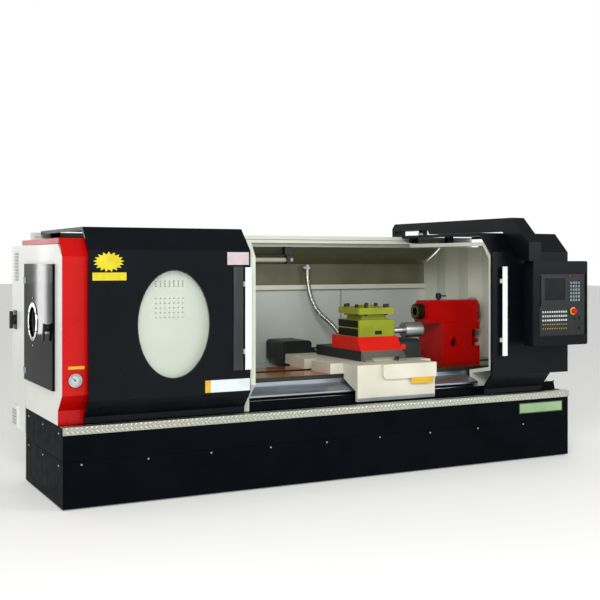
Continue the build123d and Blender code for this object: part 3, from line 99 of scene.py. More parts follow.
def bare_finish(name, settings):
    """A finish with only its shader's own values set, ready for its pattern."""
    finish = bpy.data.materials.new(name)
    finish.use_nodes = True
    tree = finish.node_tree
    shader = tree.nodes["Principled BSDF"]
    for key, value in settings.items():
        shader.inputs[key].default_value = value
    return finish, tree, shader, add_node(tree, "ShaderNodeTexCoord")


def machined(name, dull, bright, rough, grain_mm, stretch, depth_mm):
    """Bare metal: its tool or brush lines run where stretch is small, and its sheen follows them."""
    finish, tree, shader, place = bare_finish(name, {"Metallic": 1.0})
    turned = add_node(tree, "ShaderNodeMapping", {"Scale": stretch}, {"Vector": (place, "Object")})
    lines = add_node(tree, "ShaderNodeTexNoise", {"Scale": 1000 / grain_mm, "Detail": 5},
                     {"Vector": (turned, "Vector")})
    add_node(tree, "ShaderNodeValToRGB", {}, {"Fac": (lines, "Fac")}, {"Color": (shader, "Base Color")},
             [(0.3, dull), (0.7, bright)])
    add_node(tree, "ShaderNodeMapRange", {"From Min": 0.3, "From Max": 0.7, "To Min": rough * 0.75,
             "To Max": rough * 1.3}, {"Value": (lines, "Fac")}, {"Result": (shader, "Roughness")})
    add_node(tree, "ShaderNodeBump", {"Distance": depth_mm / 1000}, {"Height": (lines, "Fac")},
             {"Normal": (shader, "Normal")})
    return finish


# Bright strip dulled by handling: grey highlights, near black in the grooves.
conduit_steel = machined("interlocked_stainless_conduit", "#8b8b83", "#cfcec4", 0.24, 14, (1, 1, 1), 0.02)

route_line = bpy.data.curves.new("hose_route", "CURVE")
route_line.dimensions = "3D"
spline = route_line.splines.new("NURBS")
spline.points.add(len(hose_route) - 1)
for point, place in zip(spline.points, hose_route):
    point.co = (*at(*place), 1)
spline.order_u = 3
spline.use_endpoint_u = True
spline.resolution_u = 120
route = bpy.data.objects.new("hose_route", route_line)
bpy.context.scene.collection.objects.link(route)
traced = bpy.data.meshes.new_from_object(route)
trace = [vertex.co.copy() for vertex in traced.vertices]
bpy.data.objects.remove(route, do_unlink=True)

stations, run, step = [trace[0]], 0.0, hose_ring / ring_steps
for before, after in zip(trace, trace[1:]):
    span = (after - before).length
    while run + span >= step * len(stations):
        stations.append(before.lerp(after, (step * len(stations) - run) / span))
    run += span
ring_points, side = [], Vector((1, 0, 0))
for i, centre in enumerate(stations):
    ahead = (stations[min(i + 1, len(stations) - 1)] - stations[max(i - 1, 0)]).normalized()
    side = (side - ahead * side.dot(ahead)).normalized()
    up = ahead.cross(side)
    radius = hose_radius - (hose_groove if i % ring_steps >= ring_steps / 2 else 0)
    for j in range(hose_sides):
        angle = 2 * math.pi * j / hose_sides
        ring_points.append(centre + (side * math.cos(angle) + up * math.sin(angle)) * radius)
ring_faces = [tuple(range(hose_sides))[::-1]]
for i in range(len(stations) - 1):
    for j in range(hose_sides):
        a, b = i * hose_sides + j, i * hose_sides + (j + 1) % hose_sides
        ring_faces.append((a, b, b + hose_sides, a + hose_sides))
ring_faces.append(tuple(range(len(ring_points) - hose_sides, len(ring_points))))
hose_mesh = bpy.data.meshes.new("coolant_hose_tube")
hose_mesh.from_pydata(ring_points, [], ring_faces)
hose_mesh.materials.append(conduit_steel)
hose = bpy.data.objects.new("coolant_hose_tube", hose_mesh)
bpy.context.scene.collection.objects.link(hose)


def alone(piece):
    """Selects only this piece and makes it the active one."""
    bpy.ops.object.select_all(action="DESELECT")
    piece.select_set(True)
    bpy.context.view_layer.objects.active = piece


alone(hose)
bpy.ops.object.shade_smooth_by_angle(angle=math.radians(50))
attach(hose, "machine")
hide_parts("coolant_hose")


# Hose fitting: a chromed nut and collar on a lug screwed to the back wall, where the hose's
# end is clamped.
def dress(name, finish):
    """Gives a CAD node its finish."""
    nodes[name].data.materials.clear()
    nodes[name].data.materials.append(finish)


# Chrome plate: almost a mirror, with faint clouds from polishing.
chrome = machined("polished_chrome_plate", "#b9bcbd", "#d9dcdd", 0.12, 60, (1, 1, 1), 0.002)
dress("hose_fitting", chrome)


# Base: folded steel plate, welded and stoved in satin black, on the two pedestals that carry
# the bed. Button screws hold its covers, at the left end and along the front.
cloud_mm, wipe_mm = 320, 70


def sprayed(name, dull, bright, rough, peel_mm, peel_depth, gloss=0.5, coat=0.0):
    """Stoved enamel: two near tones in wide clouds, a sheen that wanders, and orange peel."""
    finish, tree, shader, place = bare_finish(name, {"Specular IOR Level": gloss, "Coat Weight": coat,
                                                     "Coat Roughness": 0.08})
    cloud = add_node(tree, "ShaderNodeTexNoise", {"Scale": 1000 / cloud_mm, "Detail": 4},
                     {"Vector": (place, "Object")})
    add_node(tree, "ShaderNodeValToRGB", {}, {"Fac": (cloud, "Fac")}, {"Color": (shader, "Base Color")},
             [(0.35, dull), (0.7, bright)])
    wiped = add_node(tree, "ShaderNodeTexNoise", {"Scale": 1000 / wipe_mm, "Detail": 3, "Distortion": 0.6},
                     {"Vector": (place, "Object")})
    add_node(tree, "ShaderNodeMapRange", {"From Min": 0.3, "From Max": 0.75, "To Min": rough * 0.9,
             "To Max": rough * 1.15}, {"Value": (wiped, "Fac")}, {"Result": (shader, "Roughness")})
    peel = add_node(tree, "ShaderNodeTexNoise", {"Scale": 1000 / peel_mm, "Detail": 2},
                    {"Vector": (place, "Object")})
    add_node(tree, "ShaderNodeBump", {"Distance": peel_depth / 1000}, {"Height": (peel, "Fac")},
             {"Normal": (shader, "Normal")})
    return finish


# Satin black over steel: nearly black, with soft broad reflections of the floor.
black_enamel = sprayed("satin_black_stove_enamel", "#06090d", "#0a0e13", 0.5, 2.5, 0.02, 0.02)
for name in ("base_shell", "bed_pedestals"):
    dress(name, black_enamel)

# What turns a pattern, made along Z, to stand on each face.
facing = {"top": Matrix.Identity(4), "front": Matrix.Rotation(math.radians(90), 4, "X"),
          "back": Matrix.Rotation(math.radians(-90), 4, "X"),
          "left": Matrix.Rotation(math.radians(-90), 4, "Y"),
          "right": Matrix.Rotation(math.radians(90), 4, "Y")}


def pick(piece, wanted, kind="FACE"):
    """Enters edit mode with only the faces, or points, that wanted() says yes to selected."""
    bpy.ops.object.mode_set(mode="EDIT")
    bpy.ops.mesh.select_mode(type=kind)
    bpy.ops.mesh.select_all(action="DESELECT")
    bpy.ops.object.mode_set(mode="OBJECT")
    for part in piece.data.polygons if kind == "FACE" else piece.data.vertices:
        part.select = wanted(part)
    bpy.ops.object.mode_set(mode="EDIT")


def turned_head(radius, height, rim, sides):
    """A round head standing on the origin along Z, in millimetres, with its top rim rounded."""
    bpy.ops.object.select_all(action="DESELECT")
    bpy.ops.mesh.primitive_cylinder_add(vertices=sides, radius=radius / 1000, depth=height / 1000,
                                        location=(0, 0, height / 2000))
    head = bpy.context.object
    bpy.ops.object.transform_apply(location=True, rotation=True, scale=True)
    pick(head, lambda face: face.normal.z > 0.9)
    bpy.ops.mesh.bevel(offset=rim / 1000, segments=2, affect="EDGES")
    bpy.ops.object.mode_set(mode="OBJECT")
    bpy.ops.object.shade_smooth_by_angle(angle=math.radians(35))
    return head


def button_screw(radius):
    """A low button head with its socket sunk in."""
    screw = turned_head(radius, radius * 0.7, radius * 0.3, 18)
    pick(screw, lambda face: face.normal.z > 0.95 and len(face.vertices) > 4)
    bpy.ops.mesh.inset(thickness=radius * 0.35 / 1000)
    bpy.ops.transform.translate(value=(0, 0, -radius * 0.4 / 1000))
    bpy.ops.object.mode_set(mode="OBJECT")
    return screw


def joined(pieces):
    """Joins pieces into one, which keeps the first one's place."""
    bpy.ops.object.select_all(action="DESELECT")
    for piece in pieces:
        piece.select_set(True)
    bpy.context.view_layer.objects.active = pieces[0]
    if len(pieces) > 1:
        bpy.ops.object.join()
    return bpy.context.view_layer.objects.active


def set_out(pattern, places, face="top", turns=None):
    """Copies a pattern, made round the origin, to each place on a face, and joins the copies."""
    copies = []
    for i, place in enumerate(places):
        twin = pattern.copy()
        twin.data = pattern.data.copy()
        spin = Matrix.Rotation(turns[i] if turns else 0, 4, "Z")
        twin.data.transform(Matrix.Translation(at(*place)) @ facing[face] @ spin)
        bpy.context.scene.collection.objects.link(twin)
        copies.append(twin)
    bpy.data.objects.remove(pattern, do_unlink=True)
    return joined(copies)


def settle(piece, name, finish, body):
    """Brings a finished piece's place into its mesh, and gives it its name, finish and body."""
    alone(piece)
    bpy.ops.object.transform_apply(location=True, rotation=True, scale=True)
    piece.name = name
    piece.data.name = name
    piece.data.materials.clear()
    piece.data.materials.append(finish)
    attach(piece, body)
    return piece


# Zinc plate on small screws: pale grey, slightly blue, soft glints.
zinc_plate = machined("zinc_plated_steel", "#8d9092", "#c2c5c7", 0.32, 1.5, (1, 1, 1), 0.02)
screw_radius, screw_row, screw_columns = 6, 262, range(110, 3800, 410)
end_places = [(0, y, z) for y in (90, 480, 860) for z in (440, 250)]
settle(set_out(button_screw(screw_radius), end_places, "left"), "base_end_screws", zinc_plate,
       "machine")
front_places = [(x, 0, screw_row) for x in screw_columns]
settle(set_out(button_screw(screw_radius), front_places, "front"), "base_front_screws", zinc_plate,
       "machine")


# Rating plate: a printed aluminium strip with a raised rim, riveted on the front at the right
# end. It is left bare.
origin = Vector((0, 0, 0))


def slab(x, y, z, edge, start=corner):
    """A block between low and high millimetres on each axis, with its edges rounded."""
    low = start + Vector((x[0], y[0], z[0])) / 1000
    high = start + Vector((x[1], y[1], z[1])) / 1000
    bpy.ops.object.select_all(action="DESELECT")
    bpy.ops.mesh.primitive_cube_add(size=1, location=(low + high) / 2, scale=high - low)
    piece = bpy.context.object
    bpy.ops.object.transform_apply(location=True, rotation=True, scale=True)
    bpy.ops.object.mode_set(mode="EDIT")
    bpy.ops.mesh.select_all(action="SELECT")
    bpy.ops.mesh.bevel(offset=edge / 1000, segments=2, affect="EDGES")
    bpy.ops.object.mode_set(mode="OBJECT")
    return piece


def sunk_front(piece, rim, depth):
    """Insets a piece's front face, leaving a rim, and sinks it."""
    front = min(face.center.y for face in piece.data.polygons)
    pick(piece, lambda face: face.center.y < front + 0.0001 and face.normal.y < -0.9)
    bpy.ops.mesh.inset(thickness=rim / 1000)
    bpy.ops.transform.translate(value=(0, depth / 1000, 0))
    bpy.ops.object.mode_set(mode="OBJECT")
    return piece


# Printed aluminium: a flat pale green ink, matt, over metal.
plate_green = sprayed("green_printed_aluminium", "#7fa06e", "#a8bf98", 0.42, 1.5, 0.01)
plate_dark = sprayed("dark_green_printed_aluminium", "#1d3b1c", "#28502a", 0.42, 1.5, 0.01)
plate = sunk_front(slab((3353, 3761), (-2.6, 0), (336, 414), 0.6), 6, 0.8)
settle(plate, "rating_plate", plate_dark, "machine")
settle(slab((3360, 3754), (-2.5, -1.7), (343, 407), 0.3), "rating_plate_ink", plate_green, "machine")

# Tread plate: rolled aluminium, folded over the base's front edge, with lozenges raised by the
# roll in crossing pairs.
tread_metal = machined("rolled_tread_aluminium", "#8f9186", "#c9cabc", 0.36, 2.0, (0.3, 1, 1), 0.03)
dress("tread_plate", tread_metal)
lozenge_long, lozenge_wide, lozenge_high = 27, 8, 1.8
lozenge_pitch = 30
bpy.ops.object.select_all(action="DESELECT")
bpy.ops.mesh.primitive_cylinder_add(vertices=6, radius=0.5, depth=1, location=(0, 0, lozenge_high / 2000),
                                    scale=(lozenge_long / 1000, lozenge_wide / 1000, lozenge_high / 1000))
lozenge = bpy.context.object
bpy.ops.object.transform_apply(location=True, rotation=True, scale=True)
pick(lozenge, lambda face: face.normal.z > 0.9)
bpy.ops.transform.resize(value=(0.6, 0.5, 1))
bpy.ops.object.mode_set(mode="OBJECT")
slants = [math.radians(42), math.radians(-42)]
front_pair = lozenge.copy()
front_pair.data = lozenge.data.copy()
bpy.context.scene.collection.objects.link(front_pair)
front_pair = set_out(front_pair, [(16, -3, 472), (31, -3, 451)], "front", slants)
top_pair = set_out(lozenge, [(16, 14, 485), (31, 42, 485)], "top", slants)
lozenges = joined([front_pair, top_pair])
along = lozenges.modifiers.new("along", "ARRAY")
along.use_relative_offset = False
along.use_constant_offset = True
along.constant_offset_displace = (lozenge_pitch / 1000, 0, 0)
along.count = 126
alone(lozenges)
bpy.ops.object.modifier_apply(modifier="along")
# The lozenges are rubbed brighter than the plate between them.
rubbed_metal = machined("rubbed_tread_aluminium", "#d2d3c6", "#f0f0e6", 0.26, 2.0, (1, 1, 1), 0.01)
settle(lozenges, "tread_lozenges", rubbed_metal, "machine")

# Bed: a cast-iron bed, sprayed dark below its ways. The ways are ground and carry a film of way oil. Their
# colour runs from yellow by the chuck, through orange by the carriage, a painted reflection, to near black
# by the tailstock.
bed_finish, tree, shader, place = bare_finish("painted_and_ground_cast_iron", {})
normal = add_node(tree, "ShaderNodeNewGeometry")
normal_parts = add_node(tree, "ShaderNodeSeparateXYZ", {}, {"Vector": (normal, "Normal")})
place_parts = add_node(tree, "ShaderNodeSeparateXYZ", {}, {"Vector": (place, "Object")})
looks_up = add_node(tree, "ShaderNodeMath", {"operation": "GREATER_THAN", 1: 0.7},
                    {0: (normal_parts, "Z")})
lies_high = add_node(tree, "ShaderNodeMath", {"operation": "GREATER_THAN", 1: 0.6},
                     {0: (place_parts, "Z")})
on_way = add_node(tree, "ShaderNodeMath", {"operation": "MULTIPLY"},
                  {0: (looks_up, "Value"), 1: (lies_high, "Value")})
wiped = add_node(tree, "ShaderNodeMapping", {"Scale": (0.25, 1, 1)}, {"Vector": (place, "Object")})
film = add_node(tree, "ShaderNodeTexNoise", {"Scale": 1000 / 120, "Detail": 4},
                {"Vector": (wiped, "Vector")})
along = add_node(tree, "ShaderNodeMapRange", {"From Min": -0.9, "From Max": 1.5, "To Min": 0.1,
                 "To Max": 0.9}, {"Value": (place_parts, "X")})
blend = add_node(tree, "ShaderNodeMath", {"operation": "MULTIPLY_ADD", 1: 0.3},
                 {0: (film, "Fac"), 2: (along, "Result")})
# Painted reflection: the orange stops of this ramp stand for light reflected in the oiled ways.
oil_and_painted_reflection = add_node(tree, "ShaderNodeValToRGB", {}, {"Fac": (blend, "Value")}, {},
               [(0.33, "#94800a"), (0.45, "#b8820c"), (0.53, "#cf5c10"), (0.63, "#7a5a12"),
                (0.78, "#3f3c14")])
grain = add_node(tree, "ShaderNodeTexNoise", {"Scale": 1000 / 6, "Detail": 4},
                 {"Vector": (place, "Object")})
cast = add_node(tree, "ShaderNodeValToRGB", {}, {"Fac": (grain, "Fac")}, {},
                [(0.35, "#111314"), (0.7, "#1c1f21")])
add_node(tree, "ShaderNodeMixRGB", {}, {"Fac": (on_way, "Value"), "Color1": (cast, "Color"),
         "Color2": (oil_and_painted_reflection, "Color")}, {"Color": (shader, "Base Color")})
add_node(tree, "ShaderNodeMapRange", {"To Min": 0.5, "To Max": 0.2}, {"Value": (on_way, "Value")},
         {"Result": (shader, "Roughness")})
add_node(tree, "ShaderNodeMath", {"operation": "MULTIPLY", 1: 0.5}, {0: (on_way, "Value")},
         {"Value": (shader, "Metallic")})
add_node(tree, "ShaderNodeBump", {"Distance": 0.00006}, {"Height": (grain, "Fac")},
         {"Normal": (shader, "Normal")})
dress("bed", bed_finish)

# Rail cover: a strip of bright rolled steel that shields the long screw. The film of oil on it
# leaves long grey streaks.
rolled_steel = machined("bright_rolled_steel", "#989ea6", "#bcc2ca", 0.38, 22, (0.05, 1, 1), 0.012)
dress("rail_cover", rolled_steel)

# Headstock, motor and belt: grey-sprayed castings and turned steel inside the guards, with a
# flat rubber belt between the pulleys.
grey_casting = sprayed("grey_casting_enamel", "#666a69", "#7b7f7a", 0.5, 9, 0.15)
turned_steel = machined("turned_steel", "#777a7c", "#b0b3b5", 0.28, 3, (1, 12, 12), 0.01)
dark_casting = sprayed("dark_grey_casting_enamel", "#1b1f1f", "#262a2a", 0.44, 4, 0.08, 0.25)


def moulded(name, dull, bright, rough, grain_mm, depth_mm, gloss=0.5):
    """Moulded or printed plastic and rubber: an even colour with a fine grain from the tool."""
    finish, tree, shader, place = bare_finish(name, {"Specular IOR Level": gloss})
    mould = add_node(tree, "ShaderNodeTexVoronoi", {"Scale": 1000 / grain_mm},
                     {"Vector": (place, "Object")})
    tint = add_node(tree, "ShaderNodeTexNoise", {"Scale": 1000 / 90, "Detail": 3},
                    {"Vector": (place, "Object")})
    add_node(tree, "ShaderNodeValToRGB", {}, {"Fac": (tint, "Fac")}, {"Color": (shader, "Base Color")},
             [(0.35, dull), (0.68, bright)])
    add_node(tree, "ShaderNodeMapRange", {"From Min": 0.3, "From Max": 0.7, "To Min": rough * 0.9,
             "To Max": rough * 1.15}, {"Value": (tint, "Fac")}, {"Result": (shader, "Roughness")})
    add_node(tree, "ShaderNodeBump", {"Distance": depth_mm / 1000}, {"Height": (mould, "Distance")},
             {"Normal": (shader, "Normal")})
    return finish


black_rubber = moulded("black_rubber", "#0b0b0c", "#141516", 0.68, 1.2, 0.05)
for name in ("headstock", "spindle_pulley", "motor_pulley"):
    dress(name, grey_casting)
for name in ("spindle", "spindle_bearings", "chuck", "jaw_1", "jaw_2", "jaw_3", "long_screw",
             "gantry_roller"):
    dress(name, turned_steel)
dress("drive_belt", black_rubber)
for name in ("main_motor", "carriage_servo"):
    dress(name, dark_casting)

# Fixed guards: red sheet steel over the left end, and cream sheet with vent holes round the
# chuck and the tailstock.
red_enamel = sprayed("signal_red_enamel", "#b90402", "#c70705", 0.3, 2.5, 0.03, 0.22, 0.05)
cream_enamel = sprayed("cream_enamel", "#d0d5c6", "#d7dbcc", 0.4, 2.5, 0.02)
dress("headstock_guard", red_enamel)
for name in ("chuck_guard", "tail_guard"):
    dress(name, cream_enamel)

# End frame and end door: a white face, with a gloss black door in it that hangs on two zinc
# hinge leaves. A chromed ring guards the bar hole, held by six screws.
white_enamel = sprayed("white_enamel", "#e6e8e1", "#ecede7", 0.34, 2.5, 0.02, 0.4, 0.1)
gloss_black = sprayed("gloss_black_enamel", "#050709", "#080a0c", 0.05, 6, 0.003, 0.02)
passivated_zinc = sprayed("passivated_zinc", "#727d81", "#8d989c", 0.4, 2, 0.02)
black_nylon = moulded("black_nylon", "#0c0d0e", "#16181a", 0.42, 1.0, 0.02, 0.4)
dress("end_frame", white_enamel)
dress("end_door", gloss_black)
dress("end_door_ring", chrome)
dress("end_door_latch", black_nylon)
spindle_y, spindle_z = 680, 1067
hinge_heights = (1328, 738)
leaf = slab((-32, 32), (-20, 20), (0, 4.5), 1.5, origin)
leaves = set_out(leaf, [(-15.5, 904, z) for z in hinge_heights], "left", [math.radians(90)] * 2)
leaf_places = [(-20, y, z) for y in (890, 918) for z in hinge_heights]
leaf_screws = set_out(button_screw(screw_radius), leaf_places, "left")
settle(leaves, "end_door_hinge_leaves", passivated_zinc, "end_door_set")
settle(leaf_screws, "end_door_leaf_screws", zinc_plate, "end_door_set")
ring_places, screw_circle = [], 110
for i in range(6):
    angle = math.radians(30 + 60 * i)
    ring_places.append((-21, spindle_y + screw_circle * math.cos(angle),
                        spindle_z + screw_circle * math.sin(angle)))
settle(set_out(button_screw(4.5), ring_places, "left"), "end_door_ring_screws", zinc_plate,
       "end_door_set")
plate_places = [(-16, spindle_y, spindle_z + rise) for rise in (152, -152)]
settle(set_out(button_screw(7), plate_places, "left"), "end_door_plate_screws", zinc_plate,
       "end_door_set")

# Pressure gauge: a chromed case let into the red guard, with an enamelled dial, a printed arc
# of ticks and a loose needle under the glass.
dress("pressure_gauge", chrome)
dress("gauge_needle", black_nylon)
dial_enamel = sprayed("enamelled_dial", "#b9bebc", "#c8ccca", 0.5, 1.0, 0.003)
gauge_x, gauge_z = 73, 757
dial = set_out(turned_head(34, 1, 0.3, 48), [(gauge_x, 2.2, gauge_z)], "front")
settle(dial, "gauge_dial", dial_enamel, "machine")
printed_black = moulded("black_print", "#0d0e0f", "#141517", 0.5, 1.0, 0.003)
long_ticks, short_ticks = [], []
for i in range(28):
    (short_ticks if i % 3 else long_ticks).append(math.radians(135 - 10 * i))
middle = [(gauge_x, 1.2, gauge_z)]
tick = slab((-0.9, 0.9), (22, 31), (0, 0.6), 0.1, origin)
long_arc = set_out(tick, middle * len(long_ticks), "front", long_ticks)
tick = slab((-0.5, 0.5), (27, 31), (0, 0.6), 0.1, origin)
short_arc = set_out(tick, middle * len(short_ticks), "front", short_ticks)
settle(joined([long_arc, short_arc]), "gauge_ticks", printed_black, "machine")
yellow_film = moulded("yellow_vinyl", "#cf9f06", "#e3b512", 0.42, 1.5, 0.01)
settle(slab((36, 133), (13.2, 14.2), (820, 838), 0.3), "gauge_film", yellow_film, "machine")

# Electrical cabinet: white sheet steel behind the headstock, with a louvred end and a black
# rotary switch on a dark plate.
dress("electrical_cabinet", white_enamel)
dress("cabinet_door", white_enamel)
dress("cabinet_switch", black_nylon)
settle(slab((-3, 0), (1222, 1328), (985, 1115), 2), "cabinet_switch_plate", dark_casting, "machine")
grey_louvre = moulded("grey_moulded_louvre", "#a9afa9", "#bbc1bb", 0.45, 1.5, 0.02)
blade_pitch = 22
upper_blade = slab((-7, 7), (-45, 45), (0, 6), 2, origin)
upper = set_out(upper_blade, [(-1, 1230, 1327 + blade_pitch * i) for i in range(9)], "left")
lower_blade = slab((-6, 6), (-55, 55), (0, 6), 2, origin)
lower = set_out(lower_blade, [(-13, 1240, 346 + blade_pitch * i) for i in range(5)], "left")
settle(joined([upper, lower]), "cabinet_louvres", grey_louvre, "machine")

# Cabinet's rear door: two quarter-turn locks at its free edge, a pair of louvre banks low down,
# and a bare aluminium plate.
rear_face = 1403
door_blade = slab((-110, 110), (-6, 6), (0, 5), 2, origin)
blade_places = [(x, rear_face, 440 + blade_pitch * i) for x in (330, 820) for i in range(8)]
settle(set_out(door_blade, blade_places, "back"), "cabinet_door_louvres", grey_louvre, "cabinet_door_set")
lock_places = [(44, rear_face, z) for z in (660, 1230)]
settle(set_out(button_screw(13), lock_places, "back"), "cabinet_door_locks", black_nylon,
       "cabinet_door_set")
settle(slab((500, 650), (1402.8, 1404.2), (1180, 1280), 0.4), "cabinet_door_plate", zinc_plate,
       "cabinet_door_set")

# Rear frame and back guard: cream sheet. A rolled seam runs along the beam, a folded lip along
# the ledge, and the wall's sheets overlap at one upright joint.
dress("rear_frame", cream_enamel)
wall_enamel = sprayed("pale_grey_enamel", "#bbc3bc", "#c4cbc3", 0.42, 2.5, 0.02)
# Painted shade: on the inner side over the ledge the same enamel is painted a darker olive, standing for
# the shade under the beam.
shaded_wall_enamel = wall_enamel.copy()
shaded_wall_enamel.name = "wall_enamel_painted_shade"
tree = shaded_wall_enamel.node_tree
shader = tree.nodes["Principled BSDF"]
place = add_node(tree, "ShaderNodeTexCoord")
place_parts = add_node(tree, "ShaderNodeSeparateXYZ", {}, {"Vector": (place, "Object")})
normal = add_node(tree, "ShaderNodeNewGeometry")
normal_parts = add_node(tree, "ShaderNodeSeparateXYZ", {}, {"Vector": (normal, "Normal")})
over_ledge = add_node(tree, "ShaderNodeMath", {"operation": "GREATER_THAN", 1: 1.25},
                      {0: (place_parts, "Z")})
inner_side = add_node(tree, "ShaderNodeMath", {"operation": "LESS_THAN", 1: -0.2},
                      {0: (normal_parts, "Y")})
in_painted_shade = add_node(tree, "ShaderNodeMath", {"operation": "MULTIPLY"},
                   {0: (over_ledge, "Value"), 1: (inner_side, "Value")})
shade_cloud = add_node(tree, "ShaderNodeTexNoise", {"Scale": 1000 / 260, "Detail": 3},
                {"Vector": (place, "Object")})
shade_olive = add_node(tree, "ShaderNodeValToRGB", {}, {"Fac": (shade_cloud, "Fac")}, {},
                 [(0.3, "#5a5d44"), (0.7, "#6b6d52")])
clean = shader.inputs["Base Color"].links[0].from_node
add_node(tree, "ShaderNodeMixRGB", {}, {"Fac": (in_painted_shade, "Value"), "Color1": (clean, "Color"),
         "Color2": (shade_olive, "Color")}, {"Color": (shader, "Base Color")})
dress("back_guard", shaded_wall_enamel)
seams = joined([slab((110, 3790), (1158.6, 1161), (z, z + 3), 0.8) for z in (1590, 1618)])
settle(seams, "beam_seams", dark_casting, "machine")
# Painted highlight: the lip takes the brighter cream enamel, not the wall's grey, standing for the light
# caught along the ledge.
settle(slab((1180, 3500), (1421.5, 1425), (1226, 1262), 1), "back_ledge_lip", cream_enamel, "machine")
settle(slab((2686, 2706), (1446.5, 1450.5), (660, 1228), 1), "back_wall_overlap", wall_enamel, "machine")
settle(slab((2681, 2686), (1448.6, 1450.5), (660, 1228), 0.5), "back_wall_gap", black_rubber, "machine")

# Screws of the rear: the back wall, the base's rear skirt and the right end's panel are each
# held by rows of button screws. The panel has none at its middle.
wall_back, skirt_back, right_end = 1454, 954, 3800
panel_rows, panel_columns, panel_middle = (540, 1040, 1540), (140, 560, 1010), (560, 1040)
wall_places = [(x, wall_back, z) for x in range(1215, 3500, 252) for z in (690, 1215)]
settle(set_out(button_screw(screw_radius), wall_places, "back"), "back_wall_screws", zinc_plate,
       "machine")
skirt_places = [(x, skirt_back, screw_row) for x in screw_columns]
settle(set_out(button_screw(screw_radius), skirt_places, "back"), "base_back_screws", zinc_plate,
       "machine")
panel_places = [(right_end, y, z) for y in panel_columns for z in panel_rows if (y, z) != panel_middle]
settle(set_out(button_screw(7), panel_places, "right"), "right_panel_screws", zinc_plate, "machine")

# Sliding doors: blue-black enamel on folded sheet, with white handles on two arms each. The
# left one is glazed with an oval of float glass.
door_enamel = sprayed("blue_black_enamel", "#080c10", "#0c1116", 0.3, 3, 0.003, 0.12)
for name in ("left_door", "right_door"):
    dress(name, door_enamel)
white_powder = sprayed("white_powder_coat", "#e6e8e3", "#f2f3ef", 0.24, 2.0, 0.03, 0.5, 0.2)
for name in ("left_door_handle", "right_door_handle"):
    dress(name, white_powder)
# Float glass: faintly green, clear, with a clean mirror sheen.
glass, tree, shader, place = bare_finish("float_glass", {"Roughness": 0.03, "Alpha": 0.16, "IOR": 1.5})
smear = add_node(tree, "ShaderNodeTexNoise", {"Scale": 1000 / 140, "Detail": 3},
                 {"Vector": (place, "Object")})
add_node(tree, "ShaderNodeValToRGB", {}, {"Fac": (smear, "Fac")}, {"Color": (shader, "Base Color")},
         [(0.3, "#c3d0c6"), (0.7, "#d2dcd4")])
glass.surface_render_method = "BLENDED"
dress("door_window", glass)

# Window seal: a black rubber lip pressed over the raw edge of the oval opening.
def outline(middle, wide, high, points, fill="NOTHING"):
    """An upright oval that faces the front, with its half width and half height in millimetres."""
    bpy.ops.object.select_all(action="DESELECT")
    bpy.ops.mesh.primitive_circle_add(vertices=points, radius=1, fill_type=fill, location=middle,
                                      rotation=(math.radians(90), 0, 0))
    oval = bpy.context.object
    oval.scale = (wide / 1000, high / 1000, 1)
    bpy.ops.object.transform_apply(location=False, rotation=False, scale=True)
    return oval


def walled(piece, thick, offset, rounding, smooth):
    """Gives an open surface a wall and rounded edges, in millimetres, and smooths it."""
    alone(piece)
    wall = piece.modifiers.new("wall", "SOLIDIFY")
    wall.thickness = thick / 1000
    wall.offset = offset
    bpy.ops.object.modifier_apply(modifier="wall")
    if rounding:
        edge = piece.modifiers.new("edge", "BEVEL")
        edge.width = rounding / 1000
        edge.segments = 2
        bpy.ops.object.modifier_apply(modifier="edge")
    bpy.ops.object.shade_smooth_by_angle(angle=math.radians(smooth))
    return piece


seal_wide, seal_high, seal_face, seal_thick = 235, 332, 6, 3.5
seal_middle = at(675, -29.6, 1070)
seal = outline(seal_middle, seal_wide, seal_high, 96)
pick(seal, lambda point: True, "VERT")
bpy.ops.mesh.extrude_region_move()
inward = (1 - seal_face / seal_wide, 1, 1 - seal_face / seal_high)
bpy.ops.transform.resize(value=inward, center_override=seal_middle)
bpy.ops.mesh.select_all(action="SELECT")
bpy.ops.mesh.normals_make_consistent(inside=False)
bpy.ops.object.mode_set(mode="OBJECT")
bpy.ops.object.transform_apply(location=True, rotation=True, scale=True)
settle(walled(seal, seal_thick, 0, 1.2, 40), "window_seal", black_rubber, "left_door_set")

# Finger channel: a shallow upright trough beside the handle, whose two lips stand a little
# proud of the door's sheet.
trough_x, trough_low, trough_high, trough_half, trough_deep = 1099, 770, 1420, 33, 5.5
trough_face = -30.8
bend_radius = (trough_half ** 2 + trough_deep ** 2) / (2 * trough_deep)
bend = math.asin(trough_half / bend_radius)
bpy.ops.object.select_all(action="DESELECT")
bpy.ops.mesh.primitive_plane_add(size=1)
trough = bpy.context.object
bpy.ops.object.mode_set(mode="EDIT")
bpy.ops.mesh.select_all(action="SELECT")
bpy.ops.mesh.merge(type="CENTER")
bpy.ops.transform.translate(value=at(trough_x - trough_half, trough_face - trough_deep, trough_low))
bpy.ops.mesh.extrude_region_move()
bpy.ops.transform.translate(value=(0, 0, (trough_high - trough_low) / 1000))
bpy.ops.mesh.select_all(action="SELECT")
bpy.ops.mesh.spin(steps=12, angle=2 * bend, axis=(0, 0, 1),
                  center=at(trough_x, trough_face - bend_radius, trough_low))
bpy.ops.mesh.select_all(action="SELECT")
bpy.ops.mesh.normals_make_consistent(inside=False)
bpy.ops.object.mode_set(mode="OBJECT")
# The trough is buffed by fingers, so it shines more than the sheet round it. Its black is also painted
# lighter than the door's, as a painted highlight.
buffed_and_highlight_enamel = sprayed("buffed_black_enamel_painted_highlight", "#10151b", "#1a2129", 0.16, 3, 0.004, 0.6, 0.4)
settle(walled(trough, 1.6, -1, 0, 40), "left_door_channel", buffed_and_highlight_enamel, "left_door_set")

